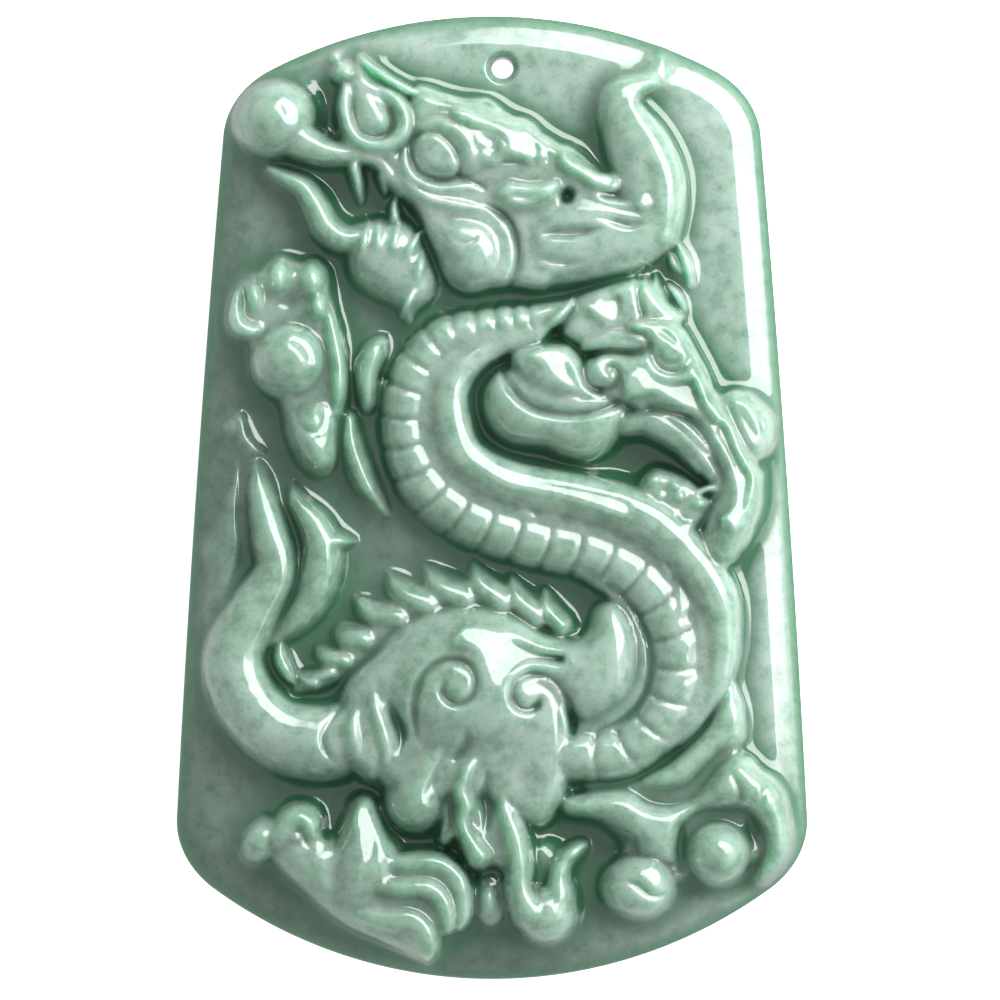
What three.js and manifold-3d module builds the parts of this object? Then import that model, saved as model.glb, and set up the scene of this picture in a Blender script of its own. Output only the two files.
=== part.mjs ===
// A jade pendant: one tapered tablet of stone with a dragon carved in high relief on its front.
// It lies on its flat back with the carving up (+Z) and the end with the cord hole towards +Y.
// Lengths are millimetres. The origin is the middle of the tablet's outline, on the back face.

import * as THREE from "three";
import { mergeVertices } from "three/addons/utils/BufferGeometryUtils.js";
import Module from "manifold-3d";

// outline of the tablet: two arcs for the ends, two tapered sides that bow out a little
const TOP_ARC_RADIUS = 30.3;
const TOP_ARC_MIDDLE_Y = -0.15;
const BOTTOM_ARC_RADIUS = 29.6;
const BOTTOM_ARC_MIDDLE_Y = -0.56;
const SHOULDER_Y = 21.1;
const SHOULDER_HALF_WIDTH = 16.97;
const FOOT_Y = -18.3;
const FOOT_HALF_WIDTH = 19.66;
const SIDE_BOW = 0.16;
const CORNER_RADIUS = 5.5;
const SIDE_TAPER = (FOOT_HALF_WIDTH - SHOULDER_HALF_WIDTH) / (SHOULDER_Y - FOOT_Y);

// thickness of the tablet and the rounding of its edges
const GROUND = 5.2;
const RIM_WIDTH = 2.2;
const RIM_DROP = 1.5;
const BACK_ROUND = 0.9;

// cord hole near the top, opened out to a shallow cone at both faces
const HOLE_X = 0.65;
const HOLE_Y = 26.9;
const HOLE_RADIUS = 0.7;
const HOLE_MOUTH_RADIUS = 1.05;
const HOLE_MOUTH_DEPTH = 0.5;
const HOLE_SIDES = 24;

// heights of the carving above the ground, all of them lowered by one share
const CARVING_SHARE = 0.85;
const LEAF = 0.8;
const SPINE = 2.1;
const TAIL = 3.7;
const TAIL_TONGUE = 2.7;
const BELLY = 3.4;
const FLANK = 4.0;
const BEND = 4.1;
const HAUNCH = 5.0;
const SHOULDER = 4.8;
const ARM = 4.3;
const PAW = 3.3;
const FLAME = 4.3;
const PEARL = 4.6;
const HEAD = 2.6;
const BROW = 4.3;
const HORN = 3.5;
const MANE = 3.7;

// a form's side starts this far under the ground, and two forms meet in a small fillet
const FORM_FOOT = -0.4;
const MEETING = 0.12;

// belly plates
const PLATE_GROOVE_DEPTH = 0.62;
const PLATE_GROOVE_HALF = 0.26;
const PLATE_PITCH_BY_WIDTH = 1.055;
const FIRST_PLATE = 2.9;

// the carving is worked out on a fine square raster and read at the corners of the front's faces;
// corners that the form doesn't need are then taken out in rounds, each with its own tolerance
const RASTER = 0.16;
const RASTER_SOFTENING = 0.15;
const RASTER_HALF_X = 20.4;
const RASTER_HALF_Y = 31;
const FACES_ACROSS = 120;
const FACES_ALONG = 184;
const THINNING_ROUNDS = [0.05, 0.1, 0.14];

const JADE = { color: 0x93b39f, roughness: 0.12, metalness: 0 };

const columns = Math.round((2 * RASTER_HALF_X) / RASTER) + 1;
const rows = Math.round((2 * RASTER_HALF_Y) / RASTER) + 1;
const height = new Float64Array(columns * rows);
const rasterX = (i) => -RASTER_HALF_X + i * RASTER;
const rasterY = (j) => -RASTER_HALF_Y + j * RASTER;

/** A smooth curve through control points; every number of a point is carried along. */
function curve(points, closed = false, pitch = 0.35) {
  const n = points.length;
  const at = (i) => {
    if (closed) return points[(i + n) % n];
    if (i < 0) return points[0].map((v, k) => 2 * v - points[1][k]);
    if (i >= n) return points[n - 1].map((v, k) => 2 * v - points[n - 2][k]);
    return points[i];
  };
  const path = [];
  const spans = closed ? n : n - 1;
  for (let i = 0; i < spans; i += 1) {
    const [a, b, c, d] = [at(i - 1), at(i), at(i + 1), at(i + 2)];
    const steps = Math.max(2, Math.ceil(Math.hypot(c[0] - b[0], c[1] - b[1]) / pitch));
    for (let s = 0; s < steps; s += 1) {
      const t = s / steps;
      path.push(b.map((v, k) => v + 0.5 * t * (c[k] - a[k]
        + t * (2 * a[k] - 5 * v + 4 * c[k] - d[k] + t * (3 * v - a[k] - 3 * c[k] + d[k])))));
    }
  }
  if (!closed) path.push(points[n - 1]);
  return path;
}

/** Calls visit(index, x, y) for every raster place inside a box. */
function overBox(x0, y0, x1, y1, visit) {
  const i0 = Math.max(0, Math.ceil((x0 + RASTER_HALF_X) / RASTER));
  const i1 = Math.min(columns - 1, Math.floor((x1 + RASTER_HALF_X) / RASTER));
  const j0 = Math.max(0, Math.ceil((y0 + RASTER_HALF_Y) / RASTER));
  const j1 = Math.min(rows - 1, Math.floor((y1 + RASTER_HALF_Y) / RASTER));
  for (let j = j0; j <= j1; j += 1) {
    for (let i = i0; i <= i1; i += 1) visit(j * columns + i, rasterX(i), rasterY(j));
  }
}

/** Distance from a place to a straight piece of path, and how far along the piece it falls. */
function toPiece(x, y, a, b) {
  const dx = b[0] - a[0];
  const dy = b[1] - a[1];
  const along = ((x - a[0]) * dx + (y - a[1]) * dy) / Math.max(dx * dx + dy * dy, 1e-9);
  const t = Math.min(1, Math.max(0, along));
  return [Math.hypot(x - a[0] - dx * t, y - a[1] - dy * t), t];
}

/** For each place near a path of [x, y, half width]: distance as a share of the half width, and that width. */
function nearPath(path) {
  const near = new Map();
  for (let s = 0; s + 1 < path.length; s += 1) {
    const [a, b] = [path[s], path[s + 1]];
    const m = Math.max(a[2], b[2]);
    const box = [Math.min(a[0], b[0]) - m, Math.min(a[1], b[1]) - m, Math.max(a[0], b[0]) + m, Math.max(a[1], b[1]) + m];
    overBox(...box, (place, x, y) => {
      const [distance, t] = toPiece(x, y, a, b);
      const half = Math.max(a[2] + (b[2] - a[2]) * t, 0.04);
      const share = distance / half;
      const known = near.get(place);
      if (share < 1 && (!known || share < known[0])) near.set(place, [share, half]);
    });
  }
  return near;
}

/**
 * Depth inside a closed outline for each place that it holds. Each piece of the outline counts by the inverse fourth
 * power of its distance, which gives the distance to a lone straight side, and no creases where sides are as near.
 */
function insideOutline(outline) {
  const xs = outline.map((p) => p[0]);
  const ys = outline.map((p) => p[1]);
  const inside = new Map();
  overBox(Math.min(...xs), Math.min(...ys), Math.max(...xs), Math.max(...ys), (place, x, y) => {
    let odd = false;
    let pull = 0;
    for (let s = 0; s < outline.length; s += 1) {
      const a = outline[s];
      const b = outline[(s + 1) % outline.length];
      const distance = Math.max(toPiece(x, y, a, b)[0], 1e-3);
      pull += Math.hypot(b[0] - a[0], b[1] - a[1]) / distance ** 4;
      if ((a[1] > y) !== (b[1] > y) && x < a[0] + ((b[0] - a[0]) * (y - a[1])) / (b[1] - a[1])) odd = !odd;
    }
    if (odd) inside.set(place, Math.cbrt(Math.PI / 2 / pull));
  });
  return inside;
}

/** Height of a rounded section: 1 at its middle (share 0), falling to 0 at its side (share 1). */
function dome(share, fullness = 2) {
  const s = Math.min(1, Math.max(0, share));
  return Math.sqrt(1 - s ** fullness);
}

/** Raises the carving to a height where that is higher, with a small fillet between the two. */
function raise(place, top) {
  const apart = Math.max(0, MEETING - Math.abs(height[place] - top));
  height[place] = Math.max(height[place], top) + (apart * apart) / (4 * MEETING);
}

/** A rounded limb that follows a path of [x, y, half width]; it lowers where it gets narrow. */
function limb(rise, points, { fullness = 2.2, taper = 0.5 } = {}) {
  const path = curve(points);
  const widest = Math.max(...path.map((p) => p[2]));
  for (const [place, [share, half]] of nearPath(path)) {
    const top = rise * (half / widest) ** taper;
    raise(place, FORM_FOOT + (top - FORM_FOOT) * dome(share, fullness));
  }
}

/** A plump form inside a closed outline, with its side rounded over a distance. */
function pad(rise, points, round) {
  for (const [place, distance] of insideOutline(curve(points, true))) {
    raise(place, FORM_FOOT + (rise - FORM_FOOT) * dome(1 - distance / round));
  }
}

/** An oval knob. */
function knob(rise, x, y, rx, ry = rx, turn = 0) {
  const c = Math.cos((turn * Math.PI) / 180);
  const s = Math.sin((turn * Math.PI) / 180);
  const reach = Math.max(rx, ry);
  overBox(x - reach, y - reach, x + reach, y + reach, (place, px, py) => {
    const u = ((px - x) * c + (py - y) * s) / rx;
    const v = ((py - y) * c - (px - x) * s) / ry;
    const share = Math.hypot(u, v);
    if (share < 1) raise(place, FORM_FOOT + (rise - FORM_FOOT) * dome(share));
  });
}

/** A groove along a path, with soft shoulders. */
function groove(depth, half, points) {
  const path = curve(points.map(([x, y, share = 1]) => [x, y, half * share]));
  for (const [place, [share]] of nearPath(path)) height[place] -= depth * (1 - share * share) ** 2;
}

/** An oval hollow. */
function hollow(depth, x, y, rx, ry) {
  overBox(x - rx, y - ry, x + rx, y + ry, (place, px, py) => {
    const share = Math.hypot((px - x) / rx, (py - y) / ry);
    if (share < 1) height[place] -= depth * (1 - share * share) ** 2;
  });
}

/** Softens the whole carving a little, first along the rows and then along the columns. */
function soften() {
  const spread = RASTER_SOFTENING / RASTER;
  const reach = Math.ceil(3 * spread);
  const weights = Array.from({ length: 2 * reach + 1 }, (_, k) => Math.exp(-((k - reach) ** 2) / (2 * spread ** 2)));
  const total = weights.reduce((sum, w) => sum + w, 0);
  for (const [stride, count, lines, lineStride] of [[1, columns, rows, columns], [columns, rows, columns, 1]]) {
    for (let line = 0; line < lines; line += 1) {
      const old = Array.from({ length: count }, (_, k) => height[line * lineStride + k * stride]);
      for (let k = reach; k < count - reach; k += 1) {
        let sum = 0;
        for (let n = -reach; n <= reach; n += 1) sum += weights[n + reach] * old[k + n];
        height[line * lineStride + k * stride] = sum / total;
      }
    }
  }
}

/** The thin leaf along the left edge and the small one above it. */
function carveLeaves() {
  pad(LEAF, [[-15.9, 2.6], [-15.7, -1], [-15.6, -3.2], [-16.1, -5.4], [-17.7, -9.3], [-18.2, -7.5],
    [-17.7, -4.8], [-18.25, -3.5], [-17.3, -2.2], [-16.5, 0.5]], 0.5);
  pad(LEAF, [[-15.6, 5.4], [-14.9, 3.7], [-14, 2.8], [-15.4, 2.6], [-16.9, 4.4], [-16.3, 4.9]], 0.5);
}

/** The tail swings out from the haunch, down and up the left side, with a shorter tongue beside it. */
function carveTail() {
  limb(TAIL_TONGUE, [[-12.5, 0.9, 0.12], [-12.2, -0.2, 0.6], [-11, -1.9, 1.15], [-10.6, -3.6, 1.35], [-11.2, -6.1, 1.3],
    [-12.4, -7.8, 0.9], [-13.9, -9.2, 0.3]]);
  limb(2.4, [[-10.8, -2.5, 0.9], [-9.7, -2.7, 0.65], [-8.7, -2.7, 0.22]]);
  limb(TAIL, [[-14.8, 2.5, 0.12], [-14.5, 0.4, 0.85], [-13.9, -2.2, 1.3], [-13.5, -4.6, 1.5], [-14.9, -7.2, 1.85],
    [-16.1, -10, 2.05], [-15.3, -12.7, 2.2], [-13.3, -14.7, 2.4], [-10.6, -15.3, 2.6], [-9, -14.8, 2.4]], { taper: 0.6 });
}

/** Flame-shaped spines along the back, each from a broad root to a hooked tip. */
function carveSpines() {
  const rootTipWidth = [[-10, -10.9, -11.7, -10.9, 0.55], [-9.2, -10.2, -11, -9.3, 0.75], [-8, -8.9, -9.8, -8.2, 0.85],
    [-5.9, -7.7, -8.6, -6.4, 0.85], [-4, -7, -6.4, -4.7, 0.95], [-1.8, -6.8, -4.1, -4.25, 0.95],
    [0.4, -7, -1.3, -4, 0.95], [2.4, -7.6, 1.1, -4.8, 0.85], [3.9, -8, 3.1, -5.8, 0.7]];
  for (const [x, y, tipX, tipY, half] of rootTipWidth) {
    const hook = 0.12;
    const middle = [0.5 * (x + tipX) - hook * (tipY - y), 0.5 * (y + tipY) - hook * (x - tipX), half];
    limb(SPINE, [[x, y, 1.25 * half], middle, [tipX, tipY, 0.12]], { fullness: 1.7, taper: 0.7 });
  }
}

/** The body's two bands: the plated belly, and the smooth flank on its inner side. */
function carveBody() {
  const belly = [[5.2, 12.3, 0.25], [2.7, 11.3, 0.9], [-0.15, 10.75, 1.2], [-3.1, 9.8, 1.45], [-5, 7.2, 1.7],
    [-5.35, 3.9, 1.65], [-4, 0.7, 1.8], [-1.2, -1.4, 1.8], [2.5, -2.6, 1.85], [6.6, -3.6, 1.9], [9.75, -5.65, 2.1],
    [11.5, -9.2, 1.95], [11, -12.9, 2], [8.5, -15.7, 1.9], [5, -16.1, 1.9]];
  limb(BELLY, belly, { fullness: 2.6, taper: 0.45 });
  carvePlates(curve(belly, false, 0.1));
  limb(FLANK, [[2.6, 9.6, 0.4], [0.1, 8.95, 0.85], [-1.35, 8.2, 1.1], [-2.35, 6.9, 1.3], [-2.5, 5.3, 1.4], [-1.5, 2.4, 1.5],
    [1.3, 1.15, 1.5], [5.2, 0.35, 1.6], [9, -0.9, 1.85], [10.9, -2.1, 1.85], [12.6, -3.7, 1.75], [13.85, -5.4, 1.5],
    [14.4, -7.3, 1.2], [14.2, -10.9, 0.95], [12.8, -13.8, 0.55], [11.7, -15.2, 0.35]]);
}

/** Grooves across the belly, spaced by the belly's own width and bowed towards the tail. */
function carvePlates(belly) {
  let walked = 0;
  let next = FIRST_PLATE;
  for (let s = 1; s + 1 < belly.length; s += 1) {
    const [before, here] = [belly[s - 1], belly[s]];
    const step = Math.hypot(here[0] - before[0], here[1] - before[1]);
    walked += step;
    if (walked < next) continue;
    const half = here[2];
    const ahead = [(here[0] - before[0]) / step, (here[1] - before[1]) / step];
    const across = [ahead[1], -ahead[0]];
    const bow = 0.2 * half;
    const end = (side, share) => [here[0] + side * half * across[0], here[1] + side * half * across[1], share];
    const middle = [here[0] + bow * ahead[0], here[1] + bow * ahead[1], 1];
    groove(PLATE_GROOVE_DEPTH, PLATE_GROOVE_HALF, [end(1.05, 1.2), middle, end(-0.95, 0.5)]);
    next += PLATE_PITCH_BY_WIDTH * half;
  }
}

/** The rear of the body, the haunch in front of it and the two curls cut into the haunch. */
function carveHaunch() {
  pad(BEND, [[-1, -7], [2.7, -7.75], [5.4, -8.3], [7.3, -6.8], [8.5, -7.4], [9.45, -10.4], [8.6, -12.8], [7, -13.7],
    [5.2, -14.1], [2, -13], [-1, -11]], 2.6);
  pad(HAUNCH, [[-9.6, -13.4], [-8.9, -11.2], [-7.6, -9.1], [-6.1, -7.85], [-4.5, -7.05], [-3, -6.65], [-1, -6.5],
    [0.8, -6.9], [2.4, -7.8], [3.8, -9.2], [5.1, -12.4], [5.3, -16.2], [4.3, -19.3], [3.1, -20.6], [1.9, -20.6],
    [-0.8, -19.6], [-2.2, -19.2], [-3, -20.6], [-4.2, -21.3], [-5.4, -21], [-7.2, -18.4], [-9.3, -16.6], [-9.9, -15.2]], 4);
  groove(0.9, 0.48, [[-4.5, -15, 0.6], [-4.9, -12.9], [-4.6, -11.6], [-3.9, -10.6], [-2.5, -10], [-1.2, -10.55],
    [-0.8, -11.7], [-1.3, -12.8], [-2, -13], [-2.7, -12.8], [-3.1, -12.2], [-2.75, -11.3, 0.5]]);
  groove(0.9, 0.48, [[5.2, -15.2, 0.8], [4.7, -12.5], [4.15, -11.6], [3.4, -11], [2.5, -10.75], [1.25, -11.6],
    [1.15, -12.3], [1.45, -12.95], [2.05, -13.25], [3.05, -12.4, 0.5]]);
}

/** The foreleg: upper arm of two lobes, the shoulder with two whorls, the arm down to a small clenched paw. */
function carveForeleg() {
  pad(2.9, [[4.6, 11.6], [5.4, 12.8], [9.2, 13.9], [11, 11.8], [11.8, 10.8], [9, 9.6], [6.4, 8.9], [4.2, 10]], 0.9);
  pad(3.4, [[14.2, 6.3], [15.3, 6.8], [17.3, 5.6], [17.9, 4.4], [17.9, 3], [16.5, 1.9], [15, 3], [14.3, 4.4]], 1.4);
  pad(3, [[8.9, 5.6], [11.6, 5.2], [14, 3.2], [17.2, 1.9], [17.35, 0.6], [17.1, -0.9], [16.2, -3], [15.1, -4.4],
    [14, -4.6], [13, -3.6], [12.6, -2.2], [13.2, 0.4], [12.8, 1.6], [11.9, 2.7], [10.4, 3.4], [9, 3.9]], 1.2);
  limb(ARM, [[12.6, 6.3, 1.4], [14.7, 3.9, 1.3], [16, 1, 1.4], [15, -2.2, 1.5], [14.3, -3.4, 1.2]], { taper: 0.3 });
  pad(4.2, [[0.9, 8.5], [-0.3, 7.7], [-0.85, 6.3], [-0.6, 4.8], [0.3, 3.6], [1.6, 3], [3.2, 2.85], [4.6, 2.25], [6, 2.1],
    [7.1, 2.7], [9.2, 5.2], [9, 6.6], [6, 7.5], [3, 8.2]], 1.9);
  pad(5, [[0.75, 8.3], [1.3, 9.3], [2.4, 9.85], [3.6, 10], [4.8, 9.7], [5.7, 8.95], [6.4, 7.6], [8.3, 6.4], [6.2, 5.5],
    [4.5, 5.35], [3, 5.6], [1.8, 6.3], [1, 7.3]], 1.6);
  pad(SHOULDER, [[5.5, 8.9], [5.4, 7.6], [6.2, 6.5], [9.2, 5.3], [12, 5], [13.4, 4.2], [14.3, 4.6], [14.3, 6.3],
    [13.2, 8.8], [12.4, 10.3], [11.2, 11.3], [9.8, 11.4], [8.3, 10.9], [7.9, 10], [9, 9.5], [7.5, 9.6], [6.2, 9.4]], 1.5);
  groove(0.9, 0.45, [[5.7, 9, 0.5], [5.55, 8.2], [6.3, 6.9], [7.1, 6.75], [7.9, 7.7], [7.5, 8.2], [7.2, 7.5, 0.5]]);
  groove(0.8, 0.45, [[10.1, 9.9, 0.5], [10.15, 8.9], [11.2, 7.95], [12.15, 8.6], [12.2, 9.1, 0.5]]);
  hollow(2.4, 10.2, 2.6, 2.2, 1);
  pad(2.9, [[8.6, -0.6], [8.9, 0.9], [10.2, 1.9], [12.8, 1.2], [13.8, -1], [11.6, -3.2], [10, -2.4]], 1);
  for (const [x, y] of [[10.3, 1], [11.6, 0.3], [13.1, -0.3], [9.6, -0.6], [10.8, -1.1], [12, -1.8]]) {
    knob(3.8, x, y, 0.75);
  }
  pad(PAW, [[12.9, -2.2], [12.9, -3.3], [14.2, -4.9], [15.4, -3.5], [14.8, -2.4], [13.8, -1.8]], 1);
}

/** The hind leg at the lower right: a fin, the leg, its paw round a pearl and a heart-shaped lobe. */
function carveRightHindLeg() {
  limb(2.6, [[15, -11.3, 0.15], [15.3, -12.8, 0.6], [15.2, -14.2, 0.9], [13.5, -16.1, 0.95], [10.8, -17.75, 0.9],
    [8.8, -17.95, 0.2]]);
  pad(PAW, [[5.1, -18.4], [7, -18], [9, -18.2], [10.6, -18.9], [12.2, -18.7], [13.4, -17.8], [15.6, -15.9], [17.8, -17.5],
    [18.6, -19.2], [19, -21], [18.7, -22.6], [17.6, -23.6], [16.6, -23.4], [17, -21.6], [16.6, -19.9], [15.4, -19.4],
    [13.8, -19.6], [12.4, -20.4], [11, -23.2], [9.2, -23], [7.4, -20.4], [5.8, -20.2], [4.9, -19.5]], 1.6);
  pad(4, [[10.2, -22], [11.6, -24.6], [10.4, -26.2], [9.1, -26.35], [7.8, -26], [6.9, -25.2], [6.55, -24.2],
    [7.8, -22.4], [9, -21.8]], 1.9);
  groove(0.8, 0.3, [[8, -23.9, 0.4], [9.1, -24.2], [9.9, -24.75], [11.4, -24.6, 0.5]]);
  knob(4.3, 14.1, -22.15, 2.1);
}

/** The hind foot at the lower left: toes, the foot and three cuffs. */
function carveLeftHindFoot() {
  pad(PAW, [[-13.9, -22.6], [-13.2, -21.2], [-9.6, -20.2], [-8.2, -18.6], [-6.2, -21.8], [-3.9, -25.6], [-3.4, -28.3],
    [-4.2, -28.8], [-6, -28.2], [-8.2, -27.1], [-12.4, -24.3]], 1.8);
  knob(2.9, -14.3, -21.3, 1.1, 1.6, -30);
  limb(3.7, [[-13, -20.9, 0.9], [-12.4, -19.9, 1.05], [-11.5, -19.8, 1], [-11.2, -20.8, 0.8], [-10.9, -21.7, 0.7]]);
  pad(4.3, [[-8.7, -18.7], [-7.3, -18.9], [-6.25, -21.4], [-6.3, -23], [-7.2, -24.6], [-8.6, -25.8], [-9.8, -25],
    [-9.9, -21.4]], 1.7);
  pad(3.8, [[-12.4, -21.4], [-10.2, -21.6], [-9.4, -25], [-10.2, -25.7], [-13, -23.4], [-13.2, -22.2]], 1.6);
  limb(3.6, [[-6, -22.7, 0.6], [-3.6, -22.75, 0.95], [-2.55, -23.4, 0.95], [-1.7, -25.5, 0.65], [-1.85, -26.6, 0.4]]);
  limb(4, [[-6.9, -24.3, 0.5], [-4.1, -24.2, 0.85], [-2.75, -26, 0.75], [-2.6, -26.9, 0.45]]);
  limb(3.8, [[-8.4, -25.9, 0.6], [-5.2, -26.3, 1.1], [-4, -28, 0.9], [-4.2, -28.7, 0.4]]);
}

/** Flames that hang from the haunch to the bottom edge, with a bead between them and the foot. */
function carveFlames() {
  pad(3.2, [[-3, -21.2], [-1.1, -23.1], [0, -23.4], [1, -24], [2.4, -23.6], [2.2, -20.4], [0, -20.6]], 1.6);
  limb(FLAME, [[1.1, -16.9, 0.12], [0.75, -19.3, 0.8], [1.5, -21.8, 1.3], [1.9, -24.8, 1.3], [3.1, -26.1, 1.6]], { taper: 0.35 });
  limb(3.9, [[3.2, -26.05, 2.05], [4.2, -24.1, 0.85], [4.25, -23, 0.7], [5.5, -21.9, 0.25]], { taper: 0.45 });
  knob(3.9, 3.25, -26.1, 2.1, 2);
  limb(5.1, [[-0.65, -15, 0.12], [-1.75, -17.1, 0.85], [-1.4, -19.3, 0.7], [-1.5, -20.3, 0.65], [-0.7, -22.4, 0.9]], { taper: 0.25 });
  knob(2.6, -0.1, -25.1, 0.95, 1.35);
}

/** The raised front paw at the left: four toes and a knuckle over a ball, and the heel below it. */
function carveLeftPaw() {
  pad(2.6, [[-14.2, 15.2], [-10.9, 14.9], [-9.9, 13.6], [-9.5, 9.5], [-9.1, 3.8], [-9.6, 1.8], [-11.2, 1], [-12.8, 1.6],
    [-14.4, 5.6], [-15.9, 9.8], [-16.5, 11.6], [-16, 13.4]], 1.3);
  const toes = [[-13.1, 13.8, 1.05, 1.4, 5], [-11.1, 13.6, 1.05, 1.3, -8], [-10.7, 11.9, 0.85, 1.25, -5],
    [-14.85, 12.5, 0.8, 1.5, 15], [-15.8, 11.3, 0.8, 2, 10], [-14.9, 10.4, 0.9, 1, 20]];
  for (const toe of toes) knob(3.5, ...toe);
  knob(PEARL, -12.7, 8.7, 2.55, 2.75);
  knob(3.9, -11.3, 3.6, 1.95, 2.6, 10);
  limb(3, [[-9.8, 11.2, 0.4], [-9.5, 9, 0.65], [-9.4, 7, 0.65], [-9.2, 5.2, 0.4]]);
  pad(2.2, [[-6.9, 10.2], [-8.9, 8.6], [-8.8, 6.8], [-8.1, 5.2], [-6.9, 8.4]], 0.8);
  limb(1.6, [[-8.5, 4.6, 0.3], [-8.2, 2.8, 0.5], [-7.4, 0.8, 0.45], [-6.4, -1, 0.2]]);
}

/** The head in profile, facing left, with a pearl at its open mouth, a beard, a mane and one horn. */
function carveHead() {
  pad(2.5, [[-9, 16.6], [-9.1, 14.6], [-8.6, 12.9], [-6, 11.6], [-5.2, 10.4], [-3.1, 12.2], [-3.3, 14.2], [-4.4, 16.4],
    [-7.6, 17.3]], 1);
  limb(3.4, [[-7.2, 13.2, 1.1], [-6.2, 14.6, 0.9], [-5.2, 15.8, 0.5], [-4.4, 16.7, 0.12]]);
  limb(3.5, [[-4.5, 11.6, 0.9], [-4.2, 12.9, 0.95], [-4.1, 14.2, 0.7], [-4.1, 15.5, 0.12]]);
  pad(HEAD, [[-8.8, 27], [-7.3, 26.6], [-5.7, 25.6], [-4.6, 26], [-0.8, 25.1], [3, 23.1], [6.2, 21.1], [8.8, 18.6],
    [11.6, 18.4], [11.8, 16.6], [10.8, 15.1], [9.2, 14.1], [7, 13.1], [3, 12.85], [-0.6, 12.6], [-2.2, 12.9],
    [-3.4, 14.2], [-4.6, 16.6], [-6.6, 18.4], [-7.6, 20.6], [-9, 21.2], [-9.7, 25.4]], 1.1);
  limb(HORN, [[7.9, 18.2, 1.2], [8.9, 19.4, 1.9], [9.2, 21, 2], [8.6, 22.7, 1.7], [7.8, 24.2, 1.35], [7.9, 25.3, 1.1],
    [8.9, 25.9, 0.7], [10.2, 25.9, 0.3]], { taper: 0.35 });
  pad(MANE, [[1.5, 17.4], [1.6, 13.8], [2.6, 12.9], [7, 13.1], [9, 13.9], [10.6, 15], [11.7, 16.6], [12, 18.4],
    [11.8, 20.4], [10.8, 22.6], [9.4, 22.4], [8, 18.6], [5.4, 18]], 1.8);
  groove(0.5, 0.35, [[2.9, 16.5, 0.5], [4, 16.15], [5.3, 16.2], [6.7, 16.8, 0.5]]);
  groove(0.5, 0.35, [[2.6, 15.1, 0.5], [3.8, 14.7], [5, 14.6], [6.3, 15, 0.5]]);
  pad(3.7, [[-9.4, 25.6], [-8.6, 26.6], [-6.8, 26.1], [-5.5, 25], [-5.3, 21.4], [-4.6, 19.8], [-2.6, 18.4], [-5, 17.9],
    [-7.6, 20.5], [-9.2, 21.3]], 1);
  knob(3.3, -9.1, 26.6, 0.95);
  groove(0.8, 0.35, [[-8.8, 24.9, 0.6], [-8.7, 23.4], [-7.4, 22.25], [-6.3, 23.3], [-7.2, 24.9, 0.6]]);
  pad(3.3, [[-4.9, 25.9], [-2.8, 25.4], [1, 23.95], [3, 23], [6.2, 21], [6.9, 20.3], [4.6, 20], [0, 19.8], [-4.8, 20.2],
    [-5.3, 23.2]], 0.7);
  pad(BROW, [[-5.1, 24.6], [-1.4, 24.1], [1.8, 22.8], [3.6, 20.8], [3.2, 20.2], [0.2, 20.3], [-1.4, 19.7], [-3.2, 19.4],
    [-4.8, 20], [-5.5, 21.6]], 1.2);
  groove(0.8, 0.4, [[-5.1, 21.3], [-4.4, 22.7], [-2.5, 22.1], [-2, 20.3], [-3.8, 19.9], [-5.1, 21.3]]);
  pad(4.3, [[-3.6, 17.9], [-1.6, 18], [0.8, 16.6], [1.15, 15.2], [0, 12.95], [-1.4, 12.65], [-2.6, 13.2], [-3.9, 16.2]], 1.7);
  pad(4.3, [[-0.2, 19], [0.5, 19.9], [3.8, 20.1], [4.9, 19.7], [3.4, 17.8], [1.8, 17.5], [0.4, 17.8]], 0.9);
  limb(4.4, [[4.3, 21.4, 0.4], [5.8, 20.4, 0.7], [7.4, 19.4, 0.65], [10.2, 18.7, 0.2]]);
  limb(3.4, [[-12.9, 23.4, 0.5], [-11.6, 22.3, 0.7], [-10.2, 21.6, 0.8], [-8.8, 21.2, 0.75], [-7.2, 21, 0.6]]);
  limb(2.9, [[-13.9, 20.4, 0.4], [-13, 19.85, 0.55], [-11.6, 19.4, 0.65], [-10.7, 18.2, 0.7], [-10.1, 17.1, 0.75],
    [-9.2, 16.3, 0.8], [-8.2, 16.6, 0.6]]);
  limb(3, [[-8.5, 20.4, 0.5], [-8.3, 19.4, 0.32], [-8.2, 18.5, 0.08]]);
  knob(PEARL, -13.6, 23.55, 2.65);
}

/** Half width of the tablet between its tapered sides. */
function sideHalfWidth(y) {
  const t = (SHOULDER_Y - y) / (SHOULDER_Y - FOOT_Y);
  return SHOULDER_HALF_WIDTH + (FOOT_HALF_WIDTH - SHOULDER_HALF_WIDTH) * t + 4 * SIDE_BOW * t * (1 - t);
}

/** Distance inside the tablet's outline: from its end arc and its side, rounded where the two meet. */
function inset(x, y) {
  const radius = y > 0 ? TOP_ARC_RADIUS : BOTTOM_ARC_RADIUS;
  const up = y - (y > 0 ? TOP_ARC_MIDDLE_Y : BOTTOM_ARC_MIDDLE_Y);
  const lean = Math.hypot(1, SIDE_TAPER);
  const out = Math.max(Math.hypot(x, up), 1e-9);
  const fromArc = radius - out;
  const fromSide = (sideHalfWidth(y) - Math.abs(x)) / lean;
  const facing = (Math.abs(x) + SIDE_TAPER * up) / (out * lean);
  const u = CORNER_RADIUS - fromArc;
  const v = CORNER_RADIUS - fromSide;
  if (u <= v * facing || v <= u * facing) return Math.min(fromArc, fromSide);
  return CORNER_RADIUS - Math.sqrt((u * u + v * v - 2 * u * v * facing) / (1 - facing * facing));
}

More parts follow.
